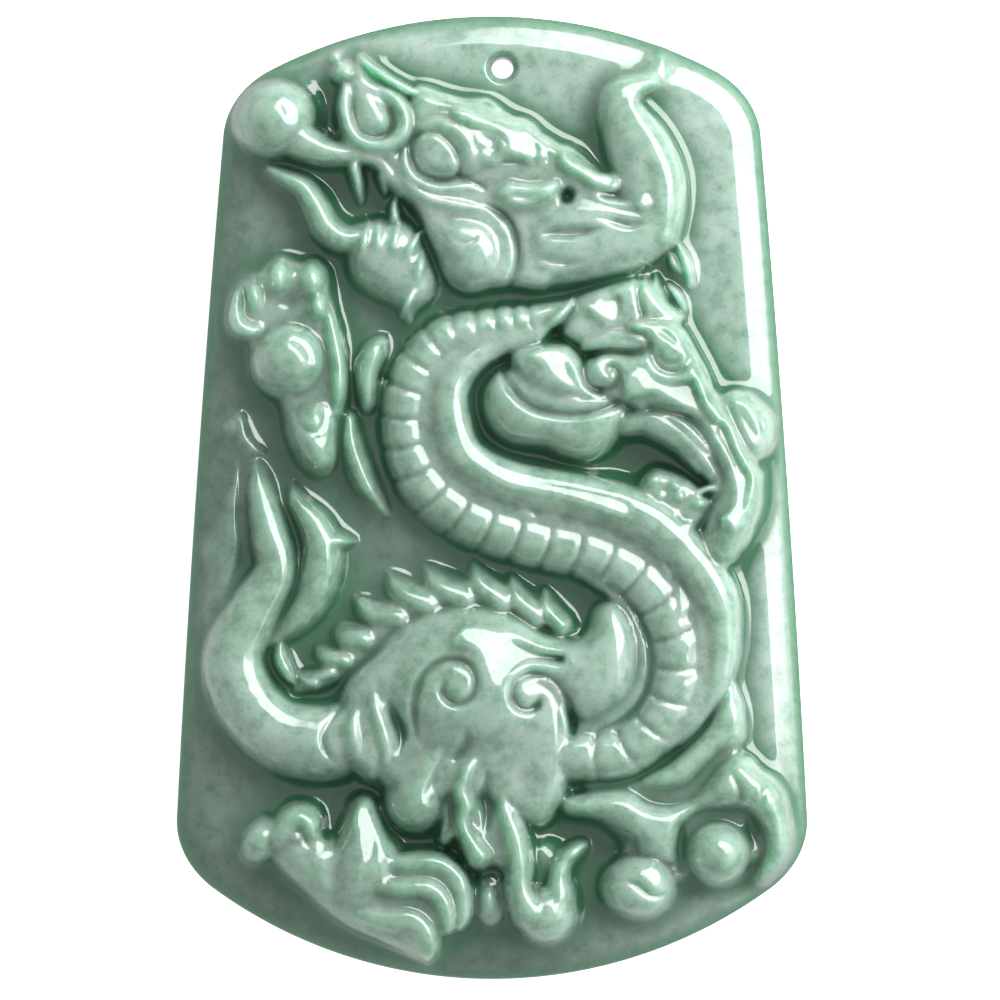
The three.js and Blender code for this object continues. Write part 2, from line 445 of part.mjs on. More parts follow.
/** The outline's point in a direction from the middle of the tablet. */
function outlinePoint(angle) {
  let near = 0;
  let far = 2 * TOP_ARC_RADIUS;
  for (let k = 0; k < 50; k += 1) {
    const middle = 0.5 * (near + far);
    if (inset(middle * Math.cos(angle), middle * Math.sin(angle)) > 0) near = middle;
    else far = middle;
  }
  return [near * Math.cos(angle), near * Math.sin(angle)];
}

/** Evenly spaced points of the outline between two directions. */
function outlineRun(from, to, faces) {
  const fine = 40 * faces;
  const points = Array.from({ length: fine + 1 }, (_, k) => outlinePoint(from + ((to - from) * k) / fine));
  const walked = [0];
  for (let k = 1; k <= fine; k += 1) {
    walked.push(walked[k - 1] + Math.hypot(points[k][0] - points[k - 1][0], points[k][1] - points[k - 1][1]));
  }
  const run = [];
  let k = 0;
  for (let n = 0; n <= faces; n += 1) {
    const want = (walked[fine] * n) / faces;
    while (k < fine - 1 && walked[k + 1] < want) k += 1;
    const t = Math.min(1, (want - walked[k]) / (walked[k + 1] - walked[k]));
    run.push([0, 1].map((c) => points[k][c] + (points[k + 1][c] - points[k][c]) * t));
  }
  return run;
}

/** Height of the front face above the back at a place. */
function frontHeight(x, y) {
  const fx = Math.min(columns - 1.001, Math.max(0, (x + RASTER_HALF_X) / RASTER));
  const fy = Math.min(rows - 1.001, Math.max(0, (y + RASTER_HALF_Y) / RASTER));
  const [i, j] = [Math.floor(fx), Math.floor(fy)];
  const [s, t] = [fx - i, fy - j];
  const place = j * columns + i;
  const low = height[place] * (1 - s) + height[place + 1] * s;
  const high = height[place + columns] * (1 - s) + height[place + columns + 1] * s;
  const edge = Math.min(1, Math.max(0, 1 - inset(x, y) / RIM_WIDTH));
  const carving = CARVING_SHARE * (low * (1 - t) + high * t);
  return GROUND + carving - RIM_DROP * (1 - Math.sqrt(1 - edge * edge));
}

/** Corners of the front's faces, in rows: a net stretched between the four runs of the outline. */
function frontNet() {
  const upper = Math.atan2(24.9, 16);
  const lower = Math.atan2(-23.2, 18.9);
  const right = outlineRun(lower, upper, FACES_ALONG);
  const top = outlineRun(Math.PI - upper, upper, FACES_ACROSS);
  const bottom = outlineRun(-Math.PI - lower, lower, FACES_ACROSS);
  const left = right.map(([x, y]) => [-x, y]);
  const net = [];
  for (let j = 0; j <= FACES_ALONG; j += 1) {
    const t = j / FACES_ALONG;
    for (let i = 0; i <= FACES_ACROSS; i += 1) {
      const s = i / FACES_ACROSS;
      net.push([0, 1].map((c) => (1 - t) * bottom[i][c] + t * top[i][c] + (1 - s) * left[j][c] + s * right[j][c]
        - (1 - s) * (1 - t) * bottom[0][c] - s * (1 - t) * bottom[FACES_ACROSS][c]
        - (1 - s) * t * top[0][c] - s * t * top[FACES_ACROSS][c]));
    }
  }
  return net;
}

/** The tablet as one closed set of faces: carved front, side wall, rounded back edge and flat back. */
function tabletFaces() {
  const wide = FACES_ACROSS + 1;
  const net = frontNet();
  const points = net.map(([x, y]) => [x, y, frontHeight(x, y)]);
  const faces = [];
  for (let j = 0; j < FACES_ALONG; j += 1) {
    for (let i = 0; i < FACES_ACROSS; i += 1) {
      const [a, b, c, d] = [j * wide + i, j * wide + i + 1, (j + 1) * wide + i + 1, (j + 1) * wide + i];
      const apart = (p, q) => Math.hypot(...points[p].map((v, k) => v - points[q][k]));
      if (apart(a, c) < apart(b, d)) faces.push([a, b, c], [a, c, d]);
      else faces.push([a, b, d], [b, c, d]);
    }
  }
  const rim = [];
  for (let i = 0; i < FACES_ACROSS; i += 1) rim.push(i);
  for (let j = 0; j < FACES_ALONG; j += 1) rim.push(j * wide + FACES_ACROSS);
  for (let i = FACES_ACROSS; i > 0; i -= 1) rim.push(FACES_ALONG * wide + i);
  for (let j = FACES_ALONG; j > 0; j -= 1) rim.push(j * wide);
  let above = rim;
  for (const turn of [0, 45, 90]) {
    const inwards = BACK_ROUND * (1 - Math.cos((turn * Math.PI) / 180));
    const z = BACK_ROUND * (1 - Math.sin((turn * Math.PI) / 180));
    const below = rim.map((p) => {
      const [x, y] = net[p];
      const gx = inset(x + 0.01, y) - inset(x - 0.01, y);
      const gy = inset(x, y + 0.01) - inset(x, y - 0.01);
      const size = Math.hypot(gx, gy);
      return points.push([x + (inwards * gx) / size, y + (inwards * gy) / size, z]) - 1;
    });
    rim.forEach((_, k) => {
      const n = (k + 1) % rim.length;
      faces.push([above[n], above[k], below[k]], [above[n], below[k], below[n]]);
    });
    above = below;
  }
  const middle = points.push([0, 0, 0]) - 1;
  rim.forEach((_, k) => faces.push([above[(k + 1) % rim.length], above[k], middle]));
  return { points, faces };
}

/** The drill that opens the cord hole: a rod that widens at both faces. */
function drillGeometry(front) {
  const beyond = 1;
  const widening = (HOLE_MOUTH_RADIUS - HOLE_RADIUS) / HOLE_MOUTH_DEPTH;
  const wide = HOLE_MOUTH_RADIUS + widening * beyond;
  const profile = [[0, -beyond], [wide, -beyond], [HOLE_RADIUS, HOLE_MOUTH_DEPTH],
    [HOLE_RADIUS, front - HOLE_MOUTH_DEPTH], [wide, front + beyond], [0, front + beyond]];
  const geometry = new THREE.LatheGeometry(profile.map(([r, z]) => new THREE.Vector2(r, z)), HOLE_SIDES);
  geometry.rotateX(Math.PI / 2);
  geometry.translate(HOLE_X, HOLE_Y, 0);
  return geometry;
}

/** A geometry with shared corners as a solid. */
function solidOf(wasm, geometry) {
  geometry.deleteAttribute("normal");
  geometry.deleteAttribute("uv");
  const merged = mergeVertices(geometry, 1e-4);
  return new wasm.Manifold(new wasm.Mesh({
    numProp: 3,
    vertProperties: new Float32Array(merged.attributes.position.array),
    triVerts: new Uint32Array(merged.index.array),
  }));
}

/** The pendant's geometry: the carved tablet with its cord hole. */
async function pendantGeometry() {
  const { points, faces } = tabletFaces();
  const blank = new THREE.BufferGeometry();
  blank.setAttribute("position", new THREE.Float32BufferAttribute(points.flat(), 3));
  blank.setIndex(faces.flat());
  const wasm = await Module();
  wasm.setup();
  let carved = solidOf(wasm, blank).subtract(solidOf(wasm, drillGeometry(frontHeight(HOLE_X, HOLE_Y))));
  for (const tolerance of THINNING_ROUNDS) carved = carved.simplify(tolerance);
  const mesh = carved.getMesh();
  const geometry = new THREE.BufferGeometry();
  geometry.setAttribute("position", new THREE.Float32BufferAttribute(mesh.vertProperties, 3));
  geometry.setIndex(new THREE.Uint32BufferAttribute(mesh.triVerts, 1));
  geometry.computeVertexNormals();
  return geometry;
}

carveLeaves();
carveTail();
carveSpines();
carveBody();
carveHaunch();
carveForeleg();
carveRightHindLeg();
carveLeftHindFoot();
carveFlames();
carveLeftPaw();
carveHead();
soften();

const pendant = new THREE.Mesh(await pendantGeometry(), new THREE.MeshStandardMaterial(JADE));
pendant.name = "jade_pendant";

const object = new THREE.Group();
object.add(pendant);

export default object;
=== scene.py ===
# %% [markdown]
# # A carved jade pendant
# The object is one tablet of jade. A carver saws a slab, rounds its rim, and cuts the ground away round a dragon until
# the animal stands about four millimetres proud. Nothing is joined on, so here too there is one piece. It is made the
# way it was carved: a height is kept for every place of the front, limbs and scales are raised on it and grooves are
# cut into it, and at the end a skin of faces is laid over the slab.

import math

import bmesh
import bpy
import numpy as np
from mathutils import Matrix, Vector


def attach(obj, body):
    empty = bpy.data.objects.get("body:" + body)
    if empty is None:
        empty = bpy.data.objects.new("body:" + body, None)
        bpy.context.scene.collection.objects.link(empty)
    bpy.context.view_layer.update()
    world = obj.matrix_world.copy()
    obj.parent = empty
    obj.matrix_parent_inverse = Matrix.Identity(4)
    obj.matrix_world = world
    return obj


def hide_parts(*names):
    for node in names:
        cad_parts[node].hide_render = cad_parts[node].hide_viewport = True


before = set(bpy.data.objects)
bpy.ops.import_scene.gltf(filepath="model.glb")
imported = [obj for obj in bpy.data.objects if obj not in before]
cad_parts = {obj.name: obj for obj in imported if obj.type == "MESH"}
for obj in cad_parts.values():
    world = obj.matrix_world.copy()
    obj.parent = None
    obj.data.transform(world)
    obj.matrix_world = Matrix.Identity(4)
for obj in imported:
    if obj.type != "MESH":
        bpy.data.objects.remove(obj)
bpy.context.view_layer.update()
MM = 0.001

# %% [markdown]
# ## The camera
# The pendant was photographed from straight above its carved face. A long lens far away keeps the sides of the tablet
# out of sight, as they are in the photograph: one millimetre of stone covers sixteen of the picture's thousand pixels.

# %% Camera
PIXELS_PER_MM = 16.0
PICTURE = 1000
VIEW_CENTRE_X, VIEW_CENTRE_Y = 0.5, -0.15
CAMERA_HEIGHT = 600.0
GROUND_LEVEL = 5.2
SENSOR = 36.0
NEAREST, FARTHEST = 50.0, 5000.0

camera_data = bpy.data.cameras.new("camera")
camera_data.sensor_width = SENSOR
camera_data.lens = SENSOR * (CAMERA_HEIGHT - GROUND_LEVEL) / (PICTURE / PIXELS_PER_MM)
camera_data.clip_start, camera_data.clip_end = NEAREST * MM, FARTHEST * MM
camera = bpy.data.objects.new("camera", camera_data)
camera.location = (VIEW_CENTRE_X * MM, VIEW_CENTRE_Y * MM, CAMERA_HEIGHT * MM)
bpy.context.scene.collection.objects.link(camera)
bpy.context.scene.camera = camera
print("lens, mm:", round(camera_data.lens, 1))

# %% [markdown]
# ## The tablet's outline
# Two arcs close the ends, two sides taper towards the top and bow out by a hair, and each corner is rounded off. What
# the rest of the script needs is how deep a place lies inside that outline, because the rim's rounding, the side wall
# and the skin's own rows of faces all follow it. A formula for that depth is exact and short. The same sizes are used
# as in the solid part.

# %% Outline
TOP_ARC_RADIUS, TOP_ARC_MIDDLE = 30.3, -0.15
BOTTOM_ARC_RADIUS, BOTTOM_ARC_MIDDLE = 29.6, -0.56
SHOULDER_Y, SHOULDER_HALF_WIDTH = 21.1, 16.97
FOOT_Y, FOOT_HALF_WIDTH = -18.3, 19.66
SIDE_BOW = 0.16
CORNER_RADIUS = 5.5
SIDE_TAPER = (FOOT_HALF_WIDTH - SHOULDER_HALF_WIDTH) / (SHOULDER_Y - FOOT_Y)
TINY = 1e-9
HALVINGS = 50


def side_half_width(y):
    """Half the width between the two sides, which bow out between shoulder and foot."""
    t = (SHOULDER_Y - y) / (SHOULDER_Y - FOOT_Y)
    return SHOULDER_HALF_WIDTH + (FOOT_HALF_WIDTH - SHOULDER_HALF_WIDTH) * t + 4 * SIDE_BOW * t * (1 - t)


def inset(x, y):
    """Depth inside the outline, in mm, negative outside."""
    radius = np.where(y > 0, TOP_ARC_RADIUS, BOTTOM_ARC_RADIUS)
    up = y - np.where(y > 0, TOP_ARC_MIDDLE, BOTTOM_ARC_MIDDLE)
    out = np.maximum(np.hypot(x, up), TINY)
    lean = math.hypot(1, SIDE_TAPER)
    from_arc = radius - out
    from_side = (side_half_width(y) - np.abs(x)) / lean
    facing = (np.abs(x) + SIDE_TAPER * up) / (out * lean)
    u, v = CORNER_RADIUS - from_arc, CORNER_RADIUS - from_side
    corner = (u > v * facing) & (v > u * facing)
    far = np.sqrt(np.maximum(u * u + v * v - 2 * u * v * facing, 0) / np.maximum(1 - facing**2, TINY))
    return np.where(corner, CORNER_RADIUS - far, np.minimum(from_arc, from_side))


def outline_points(angles):
    """Where rays from the middle of the tablet leave it, by halving the gap again and again."""
    near, far = np.zeros_like(angles), np.full_like(angles, 2 * TOP_ARC_RADIUS)
    for _ in range(HALVINGS):
        middle = (near + far) / 2
        within = inset(middle * np.cos(angles), middle * np.sin(angles)) > 0
        near, far = np.where(within, middle, near), np.where(within, far, middle)
    return np.stack([near * np.cos(angles), near * np.sin(angles)], 1)


ring = outline_points(np.radians(np.arange(360.0)))
print("outline, mm:", np.round(np.ptp(ring, axis=0), 2))

# %% [markdown]
# ## A height for every place
# Sculpting by hand would push a fine mesh about with brushes. A script can do the same on a square raster of heights:
# a swept limb, a plump pad and an oval knob raise it, a groove and a hollow lower it. Where two forms meet the taller
# wins, with a small fillet between them, which is what a round burr leaves in stone. Facets, glints and bevels are flat
# cuts that all slope the same way, towards the light, so that they flash together as a polisher's last touches do.

# %% The raster
STEP = 0.08
RASTER_HALF_WIDTH, RASTER_HALF_LENGTH = 20.2, 30.8
raster_x = np.arange(-RASTER_HALF_WIDTH, RASTER_HALF_WIDTH + STEP / 2, STEP)
raster_y = np.arange(-RASTER_HALF_LENGTH, RASTER_HALF_LENGTH + STEP / 2, STEP)
all_x, all_y = np.meshgrid(raster_x, raster_y)
height = np.zeros(all_x.shape)
print("raster:", height.shape)


def window(low, high):
    """The part of the raster that a box covers."""
    i0, i1 = np.searchsorted(raster_x, low[0]), np.searchsorted(raster_x, high[0])
    j0, j1 = np.searchsorted(raster_y, low[1]), np.searchsorted(raster_y, high[1])
    return slice(j0, j1), slice(i0, i1)


# %% Curves and distances
THINNEST, CLOSEST = 0.03, 0.001


def curve(points, closed=False, pitch=0.3):
    """A smooth curve through rows of numbers. Every column is carried along, so a width can ride on it."""
    p = np.asarray(points, float)
    p = np.vstack([p[-1], p, p[0], p[1]]) if closed else np.vstack([2 * p[0] - p[1], p, 2 * p[-1] - p[-2]])
    out = []
    for a, b, c, d in zip(p, p[1:], p[2:], p[3:]):
        steps = max(2, int(math.ceil(math.hypot(*(c - b)[:2]) / pitch)))
        t = np.arange(steps)[:, None] / steps
        out.append(b + 0.5 * t * (c - a + t * (2 * a - 5 * b + 4 * c - d + t * (3 * b - a - 3 * c + d))))
    if not closed:
        out.append(p[-2][None])
    return np.vstack(out)


def to_piece(x, y, a, b):
    """Distance from places to a straight piece of a path, and how far along it they fall."""
    dx, dy = b[0] - a[0], b[1] - a[1]
    t = np.clip(((x - a[0]) * dx + (y - a[1]) * dy) / max(dx * dx + dy * dy, TINY), 0, 1)
    return np.hypot(x - a[0] - dx * t, y - a[1] - dy * t), t


def near_path(path):
    """
    Over a window, for a path of [x, y, half width]: distance to it as a share of the half width, that half width, the
    signed distance to its left, and how far along it a place lies, counted in its points.
    """
    margin = path[:, 2].max()
    area = window(path[:, :2].min(0) - margin, path[:, :2].max(0) + margin)
    x, y = all_x[area], all_y[area]
    share, wide, aside, run = np.full(x.shape, np.inf), np.zeros(x.shape), np.zeros(x.shape), np.zeros(x.shape)
    corner_j, corner_i = area[0].start, area[1].start
    for n, (a, b) in enumerate(zip(path, path[1:])):
        m = max(a[2], b[2])
        j, i = window(np.minimum(a, b)[:2] - m, np.maximum(a, b)[:2] + m)
        part = slice(j.start - corner_j, j.stop - corner_j), slice(i.start - corner_i, i.stop - corner_i)
        distance, t = to_piece(x[part], y[part], a, b)
        half = np.maximum(a[2] + (b[2] - a[2]) * t, THINNEST)
        length = max(math.hypot(*(b - a)[:2]), TINY)
        left = ((b[0] - a[0]) * (y[part] - a[1]) - (b[1] - a[1]) * (x[part] - a[0])) / length
        closer = distance / half < share[part]
        for kept, new in ((wide, half), (aside, left), (run, n + t), (share, distance / half)):
            kept[part] = np.where(closer, new, kept[part])
    return area, share, wide, aside, run


def depth_inside(outline):
    """
    Over a window: depth inside a closed outline, 0 outside. Each piece of the outline counts by the inverse fourth
    power of its distance. That gives the distance to a lone straight side, and no crease where sides are as near.
    """
    area = window(outline.min(0), outline.max(0))
    x, y = all_x[area], all_y[area]
    pull, odd = np.zeros(x.shape), np.zeros(x.shape, bool)
    for a, b in zip(outline, np.roll(outline, -1, axis=0)):
        distance, _ = to_piece(x, y, a, b)
        pull += math.hypot(*(b - a)) / np.maximum(distance, CLOSEST) ** 4
        if a[1] != b[1]:
            odd ^= ((a[1] > y) != (b[1] > y)) & (x - a[0] < (b[0] - a[0]) * (y - a[1]) / (b[1] - a[1]))
    return area, np.where(odd, np.cbrt(math.pi / 2 / pull), 0)


print("points round a bend of 10 mm by 10 mm:", len(curve([[0, 0], [10, 0], [10, 10]])))

# %% The carver's moves: raising
FORM_FOOT, MEETING = -0.4, 0.14


def dome(share, fullness=2.0):
    """A rounded section: 1 at its middle (share 0), falling to 0 at its side (share 1)."""
    return np.sqrt(1 - np.clip(share, 0, 1) ** fullness)


def raise_to(area, on, top, meeting=MEETING):
    """Raises the stone where a form is higher, with a fillet where the two are about as high."""
    old = height[area]
    fillet = np.maximum(meeting - np.abs(old - top), 0) ** 2 / (4 * meeting)
    height[area] = np.where(on, np.maximum(old, top) + fillet, old)


def limb(rise, points, fullness=2.2, taper=0.5, foot=FORM_FOOT, meeting=MEETING):
    """A rounded limb along [x, y, half width]. It lowers where it gets narrow."""
    path = curve(points)
    area, share, wide, *_ = near_path(path)
    top = rise * (wide / path[:, 2].max()) ** taper
    raise_to(area, share < 1, foot + (top - foot) * dome(share, fullness), meeting)


def pad(rise, points, rounding, foot=FORM_FOOT, fullness=2.0, meeting=MEETING):
    """A plump form inside a closed outline."""
    area, depth = depth_inside(curve(points, closed=True))
    raise_to(area, depth > 0, foot + (rise - foot) * dome(1 - depth / rounding, fullness), meeting)


def knob(rise, x, y, rx, ry=None, turn=0.0, foot=FORM_FOOT, fullness=2.0):
    """An oval knob."""
    ry = ry or rx
    reach = max(rx, ry)
    area = window((x - reach, y - reach), (x + reach, y + reach))
    c, s = math.cos(math.radians(turn)), math.sin(math.radians(turn))
    dx, dy = all_x[area] - x, all_y[area] - y
    share = np.hypot((dx * c + dy * s) / rx, (dy * c - dx * s) / ry)
    raise_to(area, share < 1, foot + (rise - foot) * dome(share, fullness))


def fold(rise, points, fullness=1.6, taper=0.7):
    """A low ridge laid over whatever is below it."""
    path = curve(points)
    area, share, wide, *_ = near_path(path)
    height[area] += rise * (wide / path[:, 2].max()) ** taper * (1 - np.minimum(share, 1) ** 2) ** (2 / fullness)


print("half way out a dome still stands at", round(float(dome(0.5)), 2), "of its rise")

# %% The carver's moves: grooves and hollows
WIDEST_CUT = 1.2


def groove(depth, half, points, closed=False):
    """A groove along [x, y] or [x, y, share of the width], with soft shoulders."""
    path = curve([[p[0], p[1], half * (p[2] if len(p) > 2 else 1)] for p in points], closed=closed)
    if closed:
        path = np.vstack([path, path[:1]])
    area, share, wide, *_ = near_path(path)
    height[area] -= depth * np.clip(wide / half, 0, WIDEST_CUT) * (1 - np.minimum(share, 1) ** 2) ** 2


def hollow(depth, x, y, rx, ry, turn=0.0):
    """An oval hollow."""
    reach = max(rx, ry)
    area = window((x - reach, y - reach), (x + reach, y + reach))
    c, s = math.cos(math.radians(turn)), math.sin(math.radians(turn))
    dx, dy = all_x[area] - x, all_y[area] - y
    share = np.minimum(np.hypot((dx * c + dy * s) / rx, (dy * c - dx * s) / ry), 1)
    height[area] -= depth * (1 - share**2) ** 2


print("a groove is half as deep at", round(math.sqrt(1 - math.sqrt(0.5)), 2), "of its half width")

# %% The carver's moves: flat cuts
LIGHT_FROM = 31.0
FACET_PITCH = 0.2
FLAT_FALL = 0.6


def ease(share):
    """From 0 to 1 with a soft start and end."""
    share = np.clip(share, 0, 1)
    return share * share * (3 - 2 * share)


def facet(top, x, y, outline, soft=0.22, fall=FLAT_FALL):
    """A flat cut inside a closed outline. Its height is top at (x, y) and it falls towards the light, to mirror it."""
    area, depth = depth_inside(curve(outline, closed=True, pitch=FACET_PITCH))
    c, s = math.cos(math.radians(LIGHT_FROM)), math.sin(math.radians(LIGHT_FROM))
    plane = top - fall * ((all_x[area] - x) * c + (all_y[area] - y) * s)
    height[area] += (plane - height[area]) * ease(depth / soft)


def glint(*outline, soft=0.15):
    """A small flat cut inside a closed outline, at the height that the stone has there."""
    outline = np.array(outline)
    area, depth = depth_inside(curve(outline, closed=True, pitch=FACET_PITCH))
    here = depth > 0
    facet(height[area][here].mean(), all_x[area][here].mean(), all_y[area][here].mean(), outline, soft)


def bevel(points, soft=0.15):
    """A flat band along [x, y, half width], tilted down to the right of its run, at the height of its middle line."""
    path = curve(points)
    level = [height[round((y - raster_y[0]) / STEP), round((x - raster_x[0]) / STEP)] for x, y, _ in path]
    area, share, wide, aside, run = near_path(path)
    plane = np.interp(run, np.arange(len(path)), level) + FLAT_FALL * aside
    height[area] += (plane - height[area]) * ease((1 - np.minimum(share, 1)) * wide / soft)


def measure(form):
    """Prints how high the carving stands by now, and how much of the raster it covers."""
    print(f"{form}: highest place {height.max():.2f} mm, {100 * np.mean(height > STEP):.0f}% of the raster raised")


print("a flat cut falls", round(math.degrees(math.atan(FLAT_FALL))), "degrees towards the light")

# %% [markdown]
# ## The tail and the spines
# The tail leaves the haunch at the lower left and swings up the edge of the tablet as two flame-like tongues, with a
# thin leaf outside them. A tapering limb gives each tongue. Along the back stand flame-shaped spines, every one of the
# same make: a broad root, a belly that bows forward and a hooked tip, so one loop carves them all.

# %% Tail and leaves
TAIL = 3.7

pad(0.8, [[-15.9, 2.6], [-15.7, -1], [-15.6, -3.2], [-16.1, -5.4], [-17.7, -9.3], [-18.2, -7.5], [-17.7, -4.8],
          [-18.25, -3.5], [-17.3, -2.2], [-16.5, 0.5]], 0.5)
groove(0.35, 0.16, [[-16.2, 1.4], [-16.6, -0.5], [-16.9, -2.6], [-17.1, -5.5], [-17.5, -8.2]])
pad(0.85, [[-15.6, 5.4], [-14.9, 3.7], [-14, 2.8], [-15.4, 2.6], [-16.9, 4.4], [-16.3, 4.9]], 0.5)
groove(0.4, 0.2, [[-15.9, 4.6], [-16, 3.6], [-15.3, 3]])
limb(2.7, [[-12.5, 0.9, 0.12], [-12.2, -0.2, 0.6], [-11, -1.9, 1.15], [-10.6, -3.6, 1.35], [-11.2, -6.1, 1.3],
           [-12.4, -7.8, 0.9], [-13.9, -9.2, 0.3]])
limb(2.4, [[-10.8, -2.5, 0.9], [-9.7, -2.7, 0.65], [-8.7, -2.7, 0.22]])
limb(2, [[-13.2, -9, 0.3], [-13.2, -10, 0.55], [-12.7, -11, 0.5], [-12.3, -11.6, 0.2]])
limb(TAIL, [[-14.8, 2.5, 0.12], [-14.5, 0.4, 0.85], [-13.9, -2.2, 1.3], [-13.5, -4.6, 1.5], [-14.9, -7.2, 1.85],
            [-16.1, -10, 2.05], [-15.3, -12.7, 2.2], [-13.3, -14.7, 2.4], [-10.6, -15.3, 2.6], [-9, -14.8, 2.4]],
     taper=0.6)

limb(1.7, [[-12.2, -12, 0.4], [-10.2, -11.1, 0.8], [-8.3, -9.6, 1], [-6.2, -7.7, 1.1], [-4, -6.5, 1.1],
           [-1.6, -6, 1.1], [0.8, -6.3, 1], [3, -7.3, 0.9], [5, -8.2, 0.5]], fullness=3)
bevel([[-13.15, -4.8, 0.12], [-13.15, -3.7, 0.3], [-13.45, -2.6, 0.4], [-14, -1.2, 0.35], [-14.45, 0.2, 0.25],
       [-14.75, 1.9, 0.15]])
bevel([[-10.2, -14, 0.15], [-10.9, -14.2, 0.3], [-12, -14, 0.4], [-13.2, -13.5, 0.45], [-14.2, -12.6, 0.45],
       [-14.8, -11.4, 0.38], [-15, -10.4, 0.28], [-15.05, -9.3, 0.15]])
bevel([[-10.45, -2.4, 0.12], [-10.75, -1.6, 0.28], [-11.2, -0.9, 0.28], [-11.8, -0.4, 0.12]])
glint([-10.05, -3], [-9.5, -2.85], [-9.4, -3.1], [-9.7, -3.6], [-9.8, -4.9], [-10.1, -4.8], [-10.05, -3.8])
measure("tail")

# %% Spines
SPINE = 2.3
SPINE_HOOK, SPINE_ROOT, SPINE_TIP = 0.16, 1.2, 0.1
SPINES = [
    (-11, -11.6, -12, -10.9, 0.4), (-10, -10.9, -11.7, -10.9, 0.55), (-9.2, -10.2, -11, -9.3, 0.75),
    (-8, -8.9, -9.8, -8.2, 0.9), (-5.9, -7.5, -8.6, -6.2, 0.95), (-4, -6.7, -6.5, -4.6, 1.05),
    (-1.8, -6.3, -4.2, -4.15, 1.05), (0.6, -6.5, -1.2, -3.9, 1), (2.8, -7.4, 1.2, -4.7, 0.9),
    (4.3, -8, 3.3, -5.6, 0.75),
]
for root_x, root_y, tip_x, tip_y, half in SPINES:
    middle_x = (root_x + tip_x) / 2 - SPINE_HOOK * (tip_y - root_y)
    middle_y = (root_y + tip_y) / 2 - SPINE_HOOK * (root_x - tip_x)
    limb(SPINE, [[root_x, root_y, SPINE_ROOT * half], [middle_x, middle_y, half], [tip_x, tip_y, SPINE_TIP]],
         fullness=1.7, taper=0.55)
measure(f"{len(SPINES)} spines")

# %% [markdown]
# ## The body
# The body is an S of two bands: a plated belly outside, and a smooth flank inside it that catches one long highlight.
# The belly's plates are parted by grooves. They repeat along a path and keep pace with its width, so Geometry Nodes
# lay them out: the belly's middle line is a curve that carries its half width as a radius, and a repeat zone walks
# along it, leaving a small bow across the belly at every stop. The stone is then cut along those bows.

# %% Belly
BELLY = 3.4
BELLY_LINE = [[5.2, 12.3, 0.25], [2.7, 11.3, 0.9], [-0.15, 10.75, 1.2], [-3.1, 9.8, 1.45], [-5, 7.2, 1.7],
              [-5.35, 3.9, 1.65], [-4, 0.7, 1.8], [-1.2, -1.4, 1.8], [2.5, -2.6, 1.85], [6.6, -3.6, 1.9],
              [9.75, -5.65, 2.1], [11.5, -9.2, 1.95], [11, -12.9, 2], [8.5, -15.7, 1.9], [5, -16.1, 1.9]]
limb(BELLY, BELLY_LINE, fullness=2.2, taper=0.3)
measure("belly")

# %% The line that the plates follow
belly_curve = bpy.data.curves.new("belly_line", "CURVE")
belly_curve.dimensions = "3D"
belly_path = curve(BELLY_LINE)
spline = belly_curve.splines.new("POLY")
spline.points.add(len(belly_path) - 1)
for point, (x, y, half) in zip(spline.points, belly_path):
    point.co, point.radius = (x, y, 0, 1), half
belly_object = bpy.data.objects.new("belly_line", belly_curve)
bpy.context.scene.collection.objects.link(belly_object)
print("belly line points:", len(belly_path))


# %% A tree that walks along the belly
PLATE_GROOVE_POINTS = 7
BOW_LEFT, BOW_RIGHT = 1.08, -0.95


